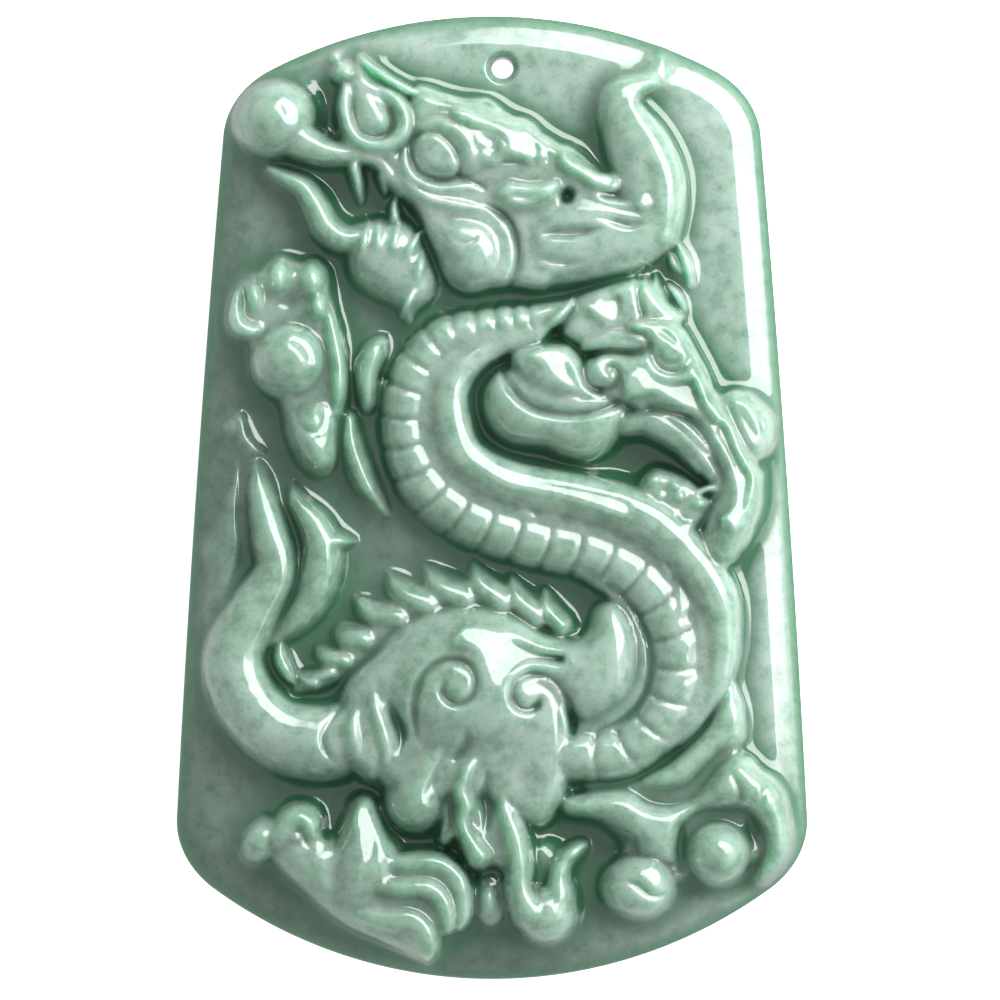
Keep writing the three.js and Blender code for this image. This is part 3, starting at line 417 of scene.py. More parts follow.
def build_plate_tree():
    """For one belly line: bows across it, each a share of its half width further on than the last."""
    tree = bpy.data.node_groups.new("belly_plates", "GeometryNodeTree")
    face, add, link = tree.interface, tree.nodes.new, tree.links.new
    face.new_socket("Belly", in_out="INPUT", socket_type="NodeSocketGeometry")
    for name in ("First groove", "Pitch by width", "Bow by width"):
        face.new_socket(name, in_out="INPUT", socket_type="NodeSocketFloat")
    face.new_socket("Grooves", in_out="INPUT", socket_type="NodeSocketInt")
    face.new_socket("Stone", in_out="INPUT", socket_type="NodeSocketMaterial")
    face.new_socket("Bows", in_out="OUTPUT", socket_type="NodeSocketGeometry")
    given, result = add("NodeGroupInput"), add("NodeGroupOutput")

    start, end = add("GeometryNodeRepeatInput"), add("GeometryNodeRepeatOutput")
    start.pair_with_output(end)
    end.repeat_items.new("FLOAT", "Walked")
    link(given.outputs["Grooves"], start.inputs["Iterations"])
    link(given.outputs["First groove"], start.inputs["Walked"])

    sample = add("GeometryNodeSampleCurve")
    sample.mode, sample.data_type = "LENGTH", "FLOAT"
    link(given.outputs["Belly"], sample.inputs["Curves"])
    link(add("GeometryNodeInputRadius").outputs["Radius"], sample.inputs["Value"])
    link(start.outputs["Walked"], sample.inputs["Length"])

    bow = add("GeometryNodeCurveQuadraticBezier")
    bow.inputs["Resolution"].default_value = PLATE_GROOVE_POINTS - 1
    bow.inputs["Start"].default_value = (BOW_LEFT, 0, 0)
    bow.inputs["End"].default_value = (BOW_RIGHT, 0, 0)
    peak = add("ShaderNodeCombineXYZ")
    link(given.outputs["Bow by width"], peak.inputs["Y"])
    link(peak.outputs["Vector"], bow.inputs["Middle"])
    thread = add("GeometryNodeCurveToMesh")
    link(bow.outputs["Curve"], thread.inputs["Curve"])

    turn = add("FunctionNodeAlignRotationToVector")
    turn.axis, turn.pivot_axis = "Y", "Z"
    link(sample.outputs["Tangent"], turn.inputs["Vector"])
    stop = add("GeometryNodePoints")
    link(sample.outputs["Position"], stop.inputs["Position"])
    placed = add("GeometryNodeInstanceOnPoints")
    link(stop.outputs[0], placed.inputs["Points"])
    link(thread.outputs["Mesh"], placed.inputs["Instance"])
    link(turn.outputs["Rotation"], placed.inputs["Rotation"])
    link(sample.outputs["Value"], placed.inputs["Scale"])

    both = add("GeometryNodeJoinGeometry")
    link(placed.outputs["Instances"], both.inputs["Geometry"])
    link(start.outputs["Geometry"], both.inputs["Geometry"])
    link(both.outputs["Geometry"], end.inputs["Geometry"])
    pace = add("ShaderNodeMath")
    pace.operation = "MULTIPLY_ADD"
    link(sample.outputs["Value"], pace.inputs[0])
    link(given.outputs["Pitch by width"], pace.inputs[1])
    link(start.outputs["Walked"], pace.inputs[2])
    link(pace.outputs[0], end.inputs["Walked"])

    real, finish = add("GeometryNodeRealizeInstances"), add("GeometryNodeSetMaterial")
    link(end.outputs["Geometry"], real.inputs["Geometry"])
    link(real.outputs["Geometry"], finish.inputs["Geometry"])
    link(given.outputs["Stone"], finish.inputs["Material"])
    link(finish.outputs["Geometry"], result.inputs["Bows"])
    return tree


# %% Set the tree's sizes
jade = bpy.data.materials.new("polished_jade")
plate_tree = build_plate_tree()
plate_sizes = {"First groove": 2.9, "Pitch by width": 1.055, "Bow by width": 0.4, "Grooves": 26, "Stone": jade}
walker = belly_object.modifiers.new("plates", "NODES")
walker.node_group = plate_tree
sockets = {i.name: i.identifier for i in plate_tree.interface.items_tree if i.in_out == "INPUT"}
for name, value in plate_sizes.items():
    walker[sockets[name]] = value
print("plate tree:", len(plate_tree.nodes), "nodes, inputs:", ", ".join(plate_sizes))

# %% Cut the grooves where the tree laid them
bows = bpy.data.meshes.new_from_object(belly_object.evaluated_get(bpy.context.evaluated_depsgraph_get()))
bow_points = np.array([v.co[:2] for v in bows.vertices]).reshape(-1, PLATE_GROOVE_POINTS, 2)
print("belly grooves:", len(bow_points))
PLATE_GROOVE_DEPTH, PLATE_GROOVE_HALF = 0.6, 0.26
LEFT_SHARE, RIGHT_SHARE = 1.2, 0.5
across = np.linspace(LEFT_SHARE, RIGHT_SHARE, PLATE_GROOVE_POINTS)
for bow in bow_points:
    groove(PLATE_GROOVE_DEPTH, PLATE_GROOVE_HALF, [[x, y, share] for (x, y), share in zip(bow, across)])
belly_object.modifiers.clear()
bpy.data.objects.remove(belly_object)
bpy.data.meshes.remove(bows)
measure("plates")

# %% Flank
FLANK = 4.0
BODY_LINE = [[3.6, 10.9, 0.5], [2.2, 10.1, 1.1], [-0.3, 9.85, 1.4], [-2.5, 8.8, 1.7], [-3.7, 6.8, 1.9],
             [-3.9, 4.6, 1.9], [-2.9, 1.7, 2], [0, -0.2, 2], [4, -1.2, 2.1], [8, -2.4, 2.3], [11, -4.4, 2.3],
             [12.8, -7.2, 2], [13, -10.2, 1.8], [12, -13.2, 1.5], [10.6, -15.2, 1]]
FLANK_LINE = [[2.1, 9.65, 0.35], [0, 9.2, 0.7], [-1.55, 8.35, 1], [-2.5, 7, 1.2], [-2.65, 5.3, 1.3], [-1.8, 2.5, 1.4],
              [1.15, 0.85, 1.45], [5.1, 0.05, 1.5], [8.9, -1.1, 1.7], [10.8, -2.3, 1.7], [12.4, -4, 1.6],
              [13.6, -5.7, 1.45], [14.2, -7.5, 1.2], [14.1, -10.9, 0.95], [12.8, -13.8, 0.55], [11.7, -15.2, 0.35]]
BODY_SHARE, FLANK_STEP_SHARE, FLANK_STEP_WIDTH, FLANK_FOOT_SHARE = 0.72, 0.6, 0.35, 0.4
limb(BODY_SHARE * FLANK, BODY_LINE, fullness=4, taper=0.2)
limb(FLANK_STEP_SHARE * FLANK, [[x, y, half + FLANK_STEP_WIDTH] for x, y, half in FLANK_LINE], fullness=3)
limb(FLANK, FLANK_LINE, foot=FLANK_FOOT_SHARE * FLANK, fullness=2)
measure("flank")

# %% Light on the flank and on the plates
bevel([[8.1, -0.7, 0.6], [7.4, -0.45, 0.62], [6.2, -0.1, 0.55], [4.4, 0.35, 0.45], [2.6, 0.7, 0.45], [1, 1.2, 0.55],
       [-0.3, 2.1, 0.62], [-1.3, 3.1, 0.55], [-1.95, 4.2, 0.45], [-2.25, 5.4, 0.4], [-2.25, 6.6, 0.4],
       [-1.95, 7.7, 0.36], [-1.3, 8.6, 0.32], [-0.3, 9.15, 0.28], [0.9, 9.35, 0.2]])
bevel([[14.15, -8.1, 0.15], [13.75, -6.6, 0.25], [13.1, -5.2, 0.32], [12.4, -3.8, 0.2]])
glint([1.9, 10.75], [2.6, 10.85], [2.95, 10.6], [2.2, 10.35], [1.9, 10.5])
glint([0.6, 10.75], [1, 10.55], [1.6, 10], [1.1, 10], [0.65, 10.35])
glint([-1, 10.7], [-0.4, 10.65], [0.25, 10], [-0.3, 9.9], [-0.85, 10.3])
glint([-2.35, 10.3], [-1.9, 10.6], [-1.55, 10.1], [-1.4, 9.55], [-1.85, 9.65], [-2.35, 10])
glint([-3.55, 9.7], [-3.2, 10.1], [-2.85, 9.7], [-2.4, 9.05], [-3.05, 9.35])
glint([1.6, -0.75], [2.9, -0.65], [3, -1.2], [2.7, -1.7], [2.2, -1.35])
glint([3.4, -0.95], [4.5, -1.15], [4.5, -1.75], [4, -1.55])
glint([5.1, -1.45], [6.1, -1.75], [5.95, -2.4], [5.4, -1.95])
glint([6.8, -1.95], [7.9, -2.35], [7.75, -3], [7.2, -2.55])
glint([8.6, -2.55], [9.8, -3.15], [9.65, -3.9], [9.15, -3.25])
glint([10.45, -3.55], [11.3, -4.15], [11.15, -5.15], [10.85, -5], [10.45, -4.1])
glint([11.8, -4.95], [12.25, -5.6], [12.55, -6.55], [11.7, -7.5], [11.5, -6.5], [11.4, -5.7])
glint([12.75, -7.3], [12.8, -8.8], [12.3, -9.65], [11.95, -8.8], [12.35, -8])
glint([11.7, -11.45], [12.2, -11.1], [13, -10.4], [12.95, -11.2], [12.3, -12], [11.8, -11.9])
measure("flank and plates, cut")

# %% [markdown]
# ## The haunch
# The round haunch is the highest part. Two spiral grooves mark its joints, and flames of hair lie over it and run down
# to the bottom edge. The grooves are cut after the form is raised, as a carver would.

# %% Haunch
limb(2.3, [[4.8, -17.2, 0.6], [5.3, -15.2, 1], [6.6, -14.2, 1.2], [8.3, -13.5, 1.3], [9.5, -11.8, 1.3],
           [9.9, -9.6, 1.3], [9.2, -7.2, 1.2], [7.8, -5.6, 1], [5.8, -4.7, 0.5]], fullness=4, taper=0.2)
pad(3.9, [[1, -7.2], [3.5, -8.2], [5.4, -8.4], [6.4, -6.6], [7.8, -6.1], [8.9, -7.2], [9.5, -8.8], [9.55, -10.4],
          [9.1, -12.2], [8.3, -13.3], [7.1, -14], [5.6, -14.4], [2, -13], [-1, -11]], 2.6)
groove(0.5, 0.3, [[6.8, -5.3, 0.5], [8.4, -6.3], [9.5, -8.2], [9.9, -10.3], [9.5, -12.3], [8.4, -13.7],
                  [6.6, -14.5, 0.5]])
pad(3.5, [[-9.9, -13], [-9.2, -11.2], [-7.6, -9.6], [-6.2, -8.3], [-4.9, -7.25], [-3.6, -6.85], [-2.4, -6.65],
          [-0.9, -6.55], [0.5, -6.8], [1.6, -7.3], [3.4, -8.4], [4.9, -11.4], [5.4, -14.4], [5.45, -16],
          [5.15, -17.8], [4.5, -19.3], [3.3, -20.7], [1.9, -20.6], [-0.8, -19.6], [-2.4, -19.4], [-3.4, -20.8],
          [-5.2, -21], [-7.2, -18.2], [-9.3, -16.6], [-10, -15.2]], 1.9)
knob(4.9, -1.6, -12.1, 6.8, 5.8)
groove(0.8, 0.4, [[-4.6, -15, 0.4], [-4.75, -14], [-4.8, -12.8], [-4.5, -11.5], [-4, -10.75], [-3.2, -10.2],
                  [-2.4, -10.05], [-1.5, -10.4], [-1.05, -11.1], [-1.05, -11.9], [-1.4, -12.5], [-2, -12.8],
                  [-2.7, -12.6], [-3.05, -12], [-2.85, -11.4, 0.4]])
groove(0.8, 0.4, [[5.1, -15, 0.4], [4.95, -13.2], [4.5, -12.1], [3.8, -11.3], [2.9, -10.95], [2, -11.1], [1.4, -11.6],
                  [1.3, -12.3], [1.6, -12.95], [2.2, -13.2], [2.8, -12.95], [3, -12.5, 0.4]])
groove(0.25, 0.15, [[-5.45, -12.9, 0.5], [-5.3, -13.8], [-4.9, -14.9, 0.5]])
measure("haunch")

# %% Light on the haunch and on the spines
SPINE_BEVEL = 0.17
glint([-1.8, -7.8], [-0.9, -7.75], [0.3, -8.05], [1.5, -8.75], [3.1, -9.45], [4.5, -9.75], [4.5, -10.4],
      [3.4, -10.35], [2.1, -10.4], [1.1, -11.1], [0.7, -12], [-0.3, -11.7], [-0.6, -10.7], [-1.1, -9.75],
      [-1.8, -9.4], [-2.6, -9.4], [-2.5, -8.5], soft=0.25)
glint([-2.6, -10.45], [-1.8, -10.45], [-1.35, -11.2], [-1.7, -11.6], [-2.5, -11])
glint([2, -11.9], [2.5, -11.3], [3.1, -11.3], [3.8, -11.7], [4.3, -12.5], [4.75, -13.6], [4.75, -14.6], [4.35, -14.6],
      [4.1, -13.3], [3.7, -12.4], [3, -12.1])
bevel([[8.95, -10.6, 0.15], [8.8, -9, 0.25], [8.2, -7.5, 0.25], [7.3, -6.4, 0.15]])
SPINE_LIGHTS = [
    [[-5.9, -6.4], [-6.6, -6.45], [-7.4, -6.15]],
    [[-3.7, -5.8], [-4.6, -5.6], [-5.3, -5.1]],
    [[-1.2, -5.5], [-2.2, -5.1], [-3.3, -4.5]],
    [[2, -6.6], [1.3, -6], [0.7, -5.2], [-0.3, -4.2]],
    [[3.6, -6.5], [3, -5.9], [2.5, -5.3]],
    [[-8, -7.7], [-8.9, -7.8]],
    [[-9.2, -9.3], [-10, -9.3]],
]
for points in SPINE_LIGHTS:
    bevel([[x, y, SPINE_BEVEL] for x, y in points])
measure("haunch and spines, cut")

# %% Tuft at the root of the tail
pad(3.7, [[-9.2, -12.8], [-8.3, -12.3], [-7.3, -12], [-6.5, -13.3], [-6.1, -16.2], [-7.3, -18], [-9.4, -16.7],
          [-10.4, -15.4], [-10.1, -14]], 1.2)
fold(0.6, [[-7.4, -11.9, 0.1], [-7.3, -13, 0.4], [-6.9, -14.2, 0.55], [-6.6, -15.4, 0.5], [-6.6, -16.5, 0.2]])
fold(0.5, [[-8.4, -12.8, 0.1], [-8.7, -13.8, 0.4], [-8.6, -15, 0.5], [-8.3, -16.2, 0.2]])
groove(0.6, 0.25, [[-9, -12.6, 0.5], [-9.8, -13.6], [-10.5, -14.8], [-10.3, -15.8], [-9.7, -16.5, 0.5]])
groove(0.9, 0.6, [[-6.5, -12.6, 0.3], [-6, -13.7], [-5.6, -14.9], [-5.8, -15.9, 0.4]])
measure("tuft")

# %% Flames that hang from it
pad(3, [[-2.2, -19], [-2, -22.2], [-1, -23.6], [0, -23.4], [1, -24.1], [2.2, -24.4], [2.7, -21.6], [1.2, -19],
        [-0.3, -17.5]], 1.2)
pad(1.6, [[2, -21.5], [3, -21.1], [4.1, -21.5], [4.5, -22.8], [4, -25.2], [2.4, -25.4], [1.7, -23.5]], 1.5)
knob(1.9, -0.1, -24.9, 1.35, 2, fullness=4)
limb(2.9, [[-3.1, -17.2, 0.8], [-2.6, -18.6, 0.9], [-2.5, -20.2, 0.9], [-2.9, -21.3, 0.6]], fullness=3)
limb(4.3, [[-2.6, -13.9, 0.12], [-2.95, -15, 0.5], [-3.6, -16.2, 0.95], [-4.3, -17.3, 1.4], [-4.75, -18.5, 2.1],
           [-4.8, -18.9, 2.2]], taper=0.12, fullness=2)
groove(0.35, 0.2, [[-3.3, -17.2, 0.4], [-3.8, -17.9], [-4.1, -18.5, 0.5]])
fold(0.25, [[-4.5, -18.9, 0.1], [-4.1, -19.2, 0.25], [-3.7, -19.2, 0.1]])
limb(4.4, [[-0.6, -14.9, 0.1], [-0.85, -16, 0.35], [-1.6, -17, 0.8], [-1.95, -18.2, 0.85], [-1.6, -19.2, 0.8],
           [-1.85, -20.2, 0.75], [-1.4, -21.3, 0.9], [-0.8, -22.3, 1.1]], taper=0.2)
limb(4.3, [[1.1, -16.8, 0.1], [0.7, -17.9, 0.45], [0.75, -19.2, 0.75], [1.3, -20.8, 1.05], [1.6, -22.4, 1.1],
           [1.75, -24.4, 1.15], [2.4, -25.8, 1.4]], taper=0.25)
groove(0.7, 0.62, [[-0.25, -16.9, 0.3], [-0.4, -18.4, 0.9], [-0.25, -19.6, 0.9], [-0.35, -20.7, 0.5]])
groove(0.5, 0.6, [[-1.6, -14.4, 0.4], [-1.6, -15.3], [-2.3, -16.3, 0.6]])
groove(0.6, 0.3, [[-2.7, -18.3, 0.4], [-2.6, -19.3], [-2.45, -20.3], [-2.9, -20.9, 0.6]])
hollow(0.35, 2.4, -17.8, 1.5, 1.5)
limb(3.9, [[3.1, -25.9, 1.9], [4.1, -25, 1.25], [4.15, -23.8, 0.85], [4.4, -22.8, 0.7], [5.2, -22, 0.5],
           [5.7, -21.7, 0.25]], taper=0.25)
knob(3.9, 3.4, -25.9, 2.05, 2.05)
groove(0.7, 0.4, [[2.6, -23.6, 0.6], [2.6, -24.3], [2.9, -24.8, 0.6]])
knob(2.8, -0.2, -25.1, 0.75, 1.35)
measure("flames")

# %% Light on the flames
bevel([[-6.5, -15.9, 0.12], [-6.6, -15.1, 0.25], [-7, -13.9, 0.28], [-7.4, -12.7, 0.12]])
glint([-3.5, -17.15], [-3.15, -16.7], [-2.75, -16.7], [-2.8, -17.2], [-3.2, -17.4])
glint([-0.75, -15.1], [-0.65, -15.8], [-1.05, -16.6], [-1.4, -17.2], [-1.6, -17.8], [-1.9, -17.5], [-1.6, -16.8],
      [-1.1, -16.1])
bevel([[-0.7, -21.4, 0.15], [-1.25, -20.7, 0.25], [-1.15, -20, 0.25], [-0.9, -19.1, 0.25], [-1.3, -18.6, 0.2],
       [-1.5, -17.8, 0.15]])
bevel([[2.2, -21.4, 0.15], [1.75, -20.5, 0.3], [1.25, -19.5, 0.3], [0.95, -18.5, 0.25], [1, -17.3, 0.12]])
bevel([[4.35, -25.5, 0.2], [4.25, -24.4, 0.28], [4.3, -23.4, 0.28], [4.6, -22.6, 0.15]])
glint([2, -24.3], [2.3, -24.7], [2.9, -24.9], [2.7, -25.2], [2.1, -25])
measure("flames, cut")

# %% [markdown]
# ## The foreleg
# The upper arm folds against the neck, the shoulder carries two whorls, and the arm comes down along the right edge to
# a small clenched paw. Wide forms that meet along a line are pads, and the arm is a limb with a hollow beside it.

# %% Behind the arm
pad(3, [[4.6, 11.6], [5.4, 12.8], [9.2, 13.9], [11, 12.4], [12, 10.9], [9, 9.6], [6.4, 8.9], [4.2, 10]], 0.9)
facet(3.1, 7, 11.8, [[5.6, 12.1], [6.9, 12.4], [8, 12.65], [8.2, 11.6], [7.5, 10.7], [6.5, 11], [5.7, 11.7]],
      fall=0.5)
groove(0.6, 0.3, [[9.3, 14.2], [9.1, 13.2], [9.2, 12.2], [9.4, 11.4]])
limb(3.2, [[5.1, 12.5, 0.2], [4.7, 11.8, 0.5], [4, 11.1, 0.6], [3.2, 10.5, 0.25]])
groove(0.6, 0.22, [[5.3, 12.5, 0.5], [5.05, 11.7], [4.3, 10.9], [3.6, 10.2, 0.5]])
NECK_LOCKS = [
    [[10.2, 13.9, 0.12], [10.3, 13.1, 0.3], [11, 12.4, 0.12]],
    [[11, 13.3, 0.12], [11.6, 12.6, 0.25], [12.05, 11.6, 0.1]],
    [[11.1, 15.2, 0.12], [11.35, 14.6, 0.25], [11.9, 14, 0.1]],
    [[11.6, 15.9, 0.12], [12.1, 14.7, 0.3], [12.45, 13.3, 0.2]],
]
for lock in NECK_LOCKS:
    limb(1.7, lock, fullness=1.7, foot=0)
measure("behind the arm")

# %% Elbow and forearm, first layer
pad(3, [[14.1, 6.4], [14.6, 6.75], [15.4, 6.85], [16.3, 6.55], [17.2, 5.8], [17.8, 4.9], [17.9, 3.7], [17.3, 2.5],
        [16.3, 2], [15, 3], [14.3, 4.6]], 1.2)
facet(2.9, 15.8, 4.7, [[14.9, 6.3], [15.3, 6.2], [16.1, 4.9], [16.6, 4], [16.5, 3.1], [15.9, 3.2], [15.4, 4.2],
                       [15.1, 5.2]])
groove(0.3, 0.16, [[15.6, 6.5, 0.4], [16.4, 5.6], [16.8, 4.6], [16.9, 3.6, 0.4]])
pad(3, [[8.9, 5.6], [11.6, 5.2], [14, 3.2], [16.9, 2], [17.1, 0.6], [17, -0.9], [16.3, -2.6], [15.2, -4.2],
        [14, -4.6], [13, -3.6], [12.6, -2.2], [13.2, 0.4], [12.8, 1.6], [11.9, 2.7], [10.4, 3.6], [9, 4.2]], 1.3)
measure("elbow")

# %% Shoulder and arm
pad(3.9, [[-0.5, 7.3], [-0.85, 6.2], [-0.7, 5], [0, 3.9], [1, 3.2], [2, 3], [3.2, 2.85], [4.2, 2.35], [5.2, 2.1],
          [6.3, 2.1], [7.2, 2.6], [7.9, 3.3], [8.6, 4.4], [9.1, 5.4], [8.4, 6.6], [6, 7.5], [3, 8.4], [0.6, 8.3]],
    1.9)
pad(4.6, [[0.95, 8.9], [1.5, 9.5], [2.5, 9.75], [3.8, 9.9], [4.9, 9.75], [5.7, 9.1], [6.6, 8], [8.4, 6.9],
          [8.3, 6.05], [6, 5.85], [4.5, 5.6], [3.2, 5.75], [2.1, 6.3], [1.3, 7.2], [0.95, 8.1]], 1.7)
groove(0.8, 0.42, [[0.7, 8.3, 0.4], [0.85, 7.4], [1.5, 6.4], [2.5, 5.65], [3.7, 5.3], [5, 5.2], [6.5, 5.4],
                   [7.5, 5.75, 0.8], [8.3, 6.15, 0.3]])
limb(3.5, [[8.4, 4.6, 0.9], [9.8, 4.8, 1.1], [11.4, 4.4, 1.2], [12.8, 3.2, 1.1], [13.7, 1.6, 0.8]], fullness=2.6,
     taper=0.2)
limb(4.1, [[13.2, 5.6, 1.5], [14.2, 4.1, 1.4], [15.2, 2.2, 1.4], [15.6, 0.6, 1.45], [15, -1.8, 1.5],
           [14.4, -3.2, 1.2]], taper=0.3)
pad(4.4, [[5.6, 8.7], [5.5, 7.5], [6.2, 6.5], [8.3, 5.9], [9.2, 5.4], [12, 4.8], [13.4, 4.1], [14.4, 4.6],
          [14.2, 6.2], [13.6, 7.9], [12.8, 9.4], [12.1, 10.6], [11.3, 11.2], [10.3, 11.45], [9.2, 11.2], [8.2, 10.8],
          [8, 10.1], [9.3, 9.6], [8.5, 9.3], [7.4, 9.4], [6.4, 9.1]], 1.2)
measure("shoulder and arm")

# %% Flat cuts and whorls of the foreleg
facet(4.15, 4.4, 8, [[2, 8.7], [2.7, 9.3], [3.6, 9.5], [4.4, 9.4], [4.8, 8.9], [5, 8.1], [5.5, 7.3], [6.3, 6.7],
                     [7, 6.5], [7, 6.1], [5.6, 6.3], [4.3, 7.3], [3.2, 8.1]], fall=0.5)
facet(4.25, 10.5, 7.2, [[8.2, 6.2], [8.3, 7.7], [9.5, 8.1], [10.2, 7.6], [11.2, 7.3], [12.5, 7.4], [12.9, 6.7],
                        [13.3, 5.7], [14, 4.8], [14.6, 4.5], [13.6, 4.2], [12.5, 5.1], [11.4, 6.1], [10.2, 6.4],
                        [9.2, 6.2]], fall=0.48)
facet(3.6, 15.3, 1, [[14.2, 4.8], [14.8, 4.2], [15.2, 2.9], [15.7, 2.1], [16.2, 1.3], [16, 0], [15.7, -1.2],
                     [15.2, -2.2], [14.6, -2], [14, -1.3], [14.8, -0.5], [15.1, 0.6], [14.9, 1.7], [14.5, 2.8],
                     [13.8, 4]], fall=0.5)
groove(0.9, 0.36, [[5.7, 8.6, 0.4], [5.65, 7.7], [6.1, 6.95], [6.9, 6.7], [7.65, 6.95], [7.9, 7.6], [7.6, 8.15],
                   [7.25, 8.05], [7.25, 7.5, 0.4]])
facet(4.2, 6.7, 8.2, [[6.2, 8.2], [6.6, 8.8], [7.4, 8.9], [8.4, 8.4], [7.4, 8.5], [6.9, 8.2], [6.8, 7.5], [6.4, 7.5]],
      soft=0.15, fall=0.5)
limb(3.95, [[5.9, 9.5, 0.6], [7.3, 9.8, 0.8], [9, 9.7, 0.85], [10.2, 9.4, 0.5]], fullness=3)
limb(3.8, [[7.2, 6.5, 0.6], [8.3, 6.5, 0.8], [9.3, 6, 0.8]], fullness=3)
limb(3.3, [[8.4, 4.9, 0.8], [10.2, 4.6, 1.1], [12, 3.6, 1.1], [13.2, 2.1, 0.9]], fullness=4)
groove(0.3, 0.3, [[6.5, 9.5, 0.3], [7.5, 9.9, 0.8], [8.5, 9.8], [9.3, 9.5, 0.6]])
facet(4, 10, 10.6, [[8.4, 10.7], [9.1, 11], [10, 10.95], [10.9, 10.5], [11.5, 9.8], [11.7, 9.2], [11.4, 9.4],
                    [10.9, 9.8], [9.9, 10.2], [8.9, 10.4]], soft=0.15, fall=0.5)
groove(0.6, 0.36, [[9.9, 9.9, 0.4], [9.95, 9.1], [10.3, 8.25], [11, 7.85], [11.8, 7.95], [12.25, 8.5],
                   [12.2, 9.2, 0.4]])
groove(0.5, 0.24, [[10.3, 9.6, 0.4], [10.45, 8.8], [11, 8.35], [11.6, 8.5], [11.8, 9.1, 0.4]])
groove(0.3, 0.16, [[11.2, 10.6, 0.4], [12, 9.9], [12.7, 8.9], [13.3, 7.7], [13.8, 6.6, 0.4]])
groove(0.35, 0.18, [[10.3, 5.15, 0.4], [11, 4.8], [12, 4.05], [13, 3.05], [13.9, 2.1], [14.35, 1.2], [14.25, 0.4],
                    [13.8, -0.3], [13.3, -1, 0.4]])
measure("foreleg")

# %% Clenched paw
PAW = 3.3

hollow(0.35, 9.9, 2.8, 2.2, 0.8, -10)
pad(2.9, [[8.8, -0.6], [8.9, 0.8], [9.8, 1.8], [10.8, 1.9], [12.8, 1.1], [13.8, -0.6], [12.9, -2.4], [11.8, -3.3],
          [10, -2.3]], 0.9)
KNUCKLES = [
    (3.5, 10.1, 1.1, 0.85, 0.55, 20), (3.5, 11.4, 0.75, 0.8, 0.45, -20), (3.7, 11.7, 0.1, 0.6, 0.5, 0),
    (3.9, 12.9, -0.35, 0.85, 0.55, 0), (3.4, 10.5, 0.1, 0.6, 0.5, 30), (3.2, 9.5, -0.3, 0.55, 0.7, 10),
    (3.3, 10.4, -1, 0.55, 0.7, 20), (3.2, 9.7, -1.5, 0.5, 0.5, 0), (3.5, 11.2, -2.3, 0.5, 0.8, 10),
    (3.5, 12.2, -1.8, 0.55, 0.75, 35), (3.3, 11.4, -1, 0.5, 0.5, 0),
]
for rise, x, y, rx, ry, turn in KNUCKLES:
    knob(rise, x, y, rx, ry, turn)
limb(3.3, [[12.3, -0.1, 0.2], [13, 0.4, 0.3], [13.7, 0.6, 0.3], [14.2, 0.2, 0.15]])
pad(PAW, [[12.9, -2.2], [12.9, -3.3], [14.2, -4.9], [15.2, -3.9], [14.9, -2.6], [13.8, -1.8]], 0.9)
groove(0.3, 0.16, [[13.6, -2.9, 0.4], [14.3, -3.3], [14.6, -3.9, 0.4]])
groove(0.35, 0.18, [[15, -3.2, 0.4], [15.6, -3.4], [16.2, -3.2, 0.4]])
measure("clenched paw")

# %% [markdown]
# ## The hind feet
# At the lower right a leg bends round a pearl, with a fin above it and a heart-shaped lobe below. At the lower left
# the other foot lies on its side, its toes to the left and three cuffs of skin at the ankle. A limb that turns as
# sharply as this leg would fold over itself, so the leg is outlined as one pad. The cuffs are limbs, each laid a little
# higher than the last, as they overlap on the foot.

# %% Right hind leg
pad(1.6, [[5.4, -17.4], [9, -17], [13, -14.6], [15.2, -12], [15.8, -15.4], [17.6, -17.6], [18, -20], [17.2, -22.6],
          [15.6, -23.4], [13, -23.4], [11.4, -24.6], [9, -25.6], [7.6, -25], [7.4, -23], [7.8, -21.6], [6, -19.8]],
    1.1)
pad(2.8, [[14.95, -11.1], [15.5, -12.2], [15.85, -13.4], [15.9, -15], [15.4, -15.6], [14.5, -15.9], [13.3, -17],
          [12.4, -17.95], [11.2, -18.45], [10, -18.35], [9, -17.95], [9.5, -17.2], [10.8, -16.5], [12.2, -15.3],
          [13.3, -14.1], [14, -12.7]], 0.9)
pad(PAW, [[4.4, -18.6], [6.5, -18.1], [8, -18], [9, -18.25], [9.8, -18.8], [11, -19], [12.2, -18.7], [13, -17.9],
          [13.8, -16.8], [14.6, -16.1], [15.4, -15.85], [16.2, -16.1], [16.9, -16.8], [17.7, -17.4], [18.4, -18.4],
          [18.75, -19.6], [19, -21], [18.8, -22.4], [18.1, -23.5], [17, -24.3], [16.4, -23.6], [16.9, -22],
          [16.6, -20.6], [15.8, -19.8], [14.6, -19.7], [13, -19.8], [12.1, -20.6], [11.7, -22], [11.4, -23],
          [9.2, -22.6], [8.6, -21.6], [7.6, -20.8], [6.3, -20.2], [4.4, -19.8]], 1.3)
pad(3.6, [[13, -18.4], [13.9, -17], [14.8, -16.2], [15.7, -16], [16.5, -16.7], [17.3, -17.4], [17.9, -18.6],
          [18, -19.8], [17.5, -21], [16.9, -20.4], [16.2, -19.6], [15, -19.2], [13.9, -19.2]], 1)
groove(0.5, 0.25, [[14.7, -16.9, 0.4], [15.2, -17.6], [15.5, -18.6], [15.3, -19.4, 0.4]])
groove(0.4, 0.2, [[16.9, -17.1, 0.4], [17, -18], [16.8, -19], [16.95, -20, 0.4]])
bevel([[16.6, -18.7, 0.15], [16.25, -18.1, 0.28], [15.9, -17.4, 0.28], [15.6, -16.9, 0.15]])
bevel([[17.2, -19.3, 0.12], [17.4, -18.6, 0.22], [17.3, -17.9, 0.12]])
bevel([[15.1, -14.6, 0.3], [15.2, -13.6, 0.38], [15.1, -12.4, 0.26], [14.95, -11.3, 0.12]])
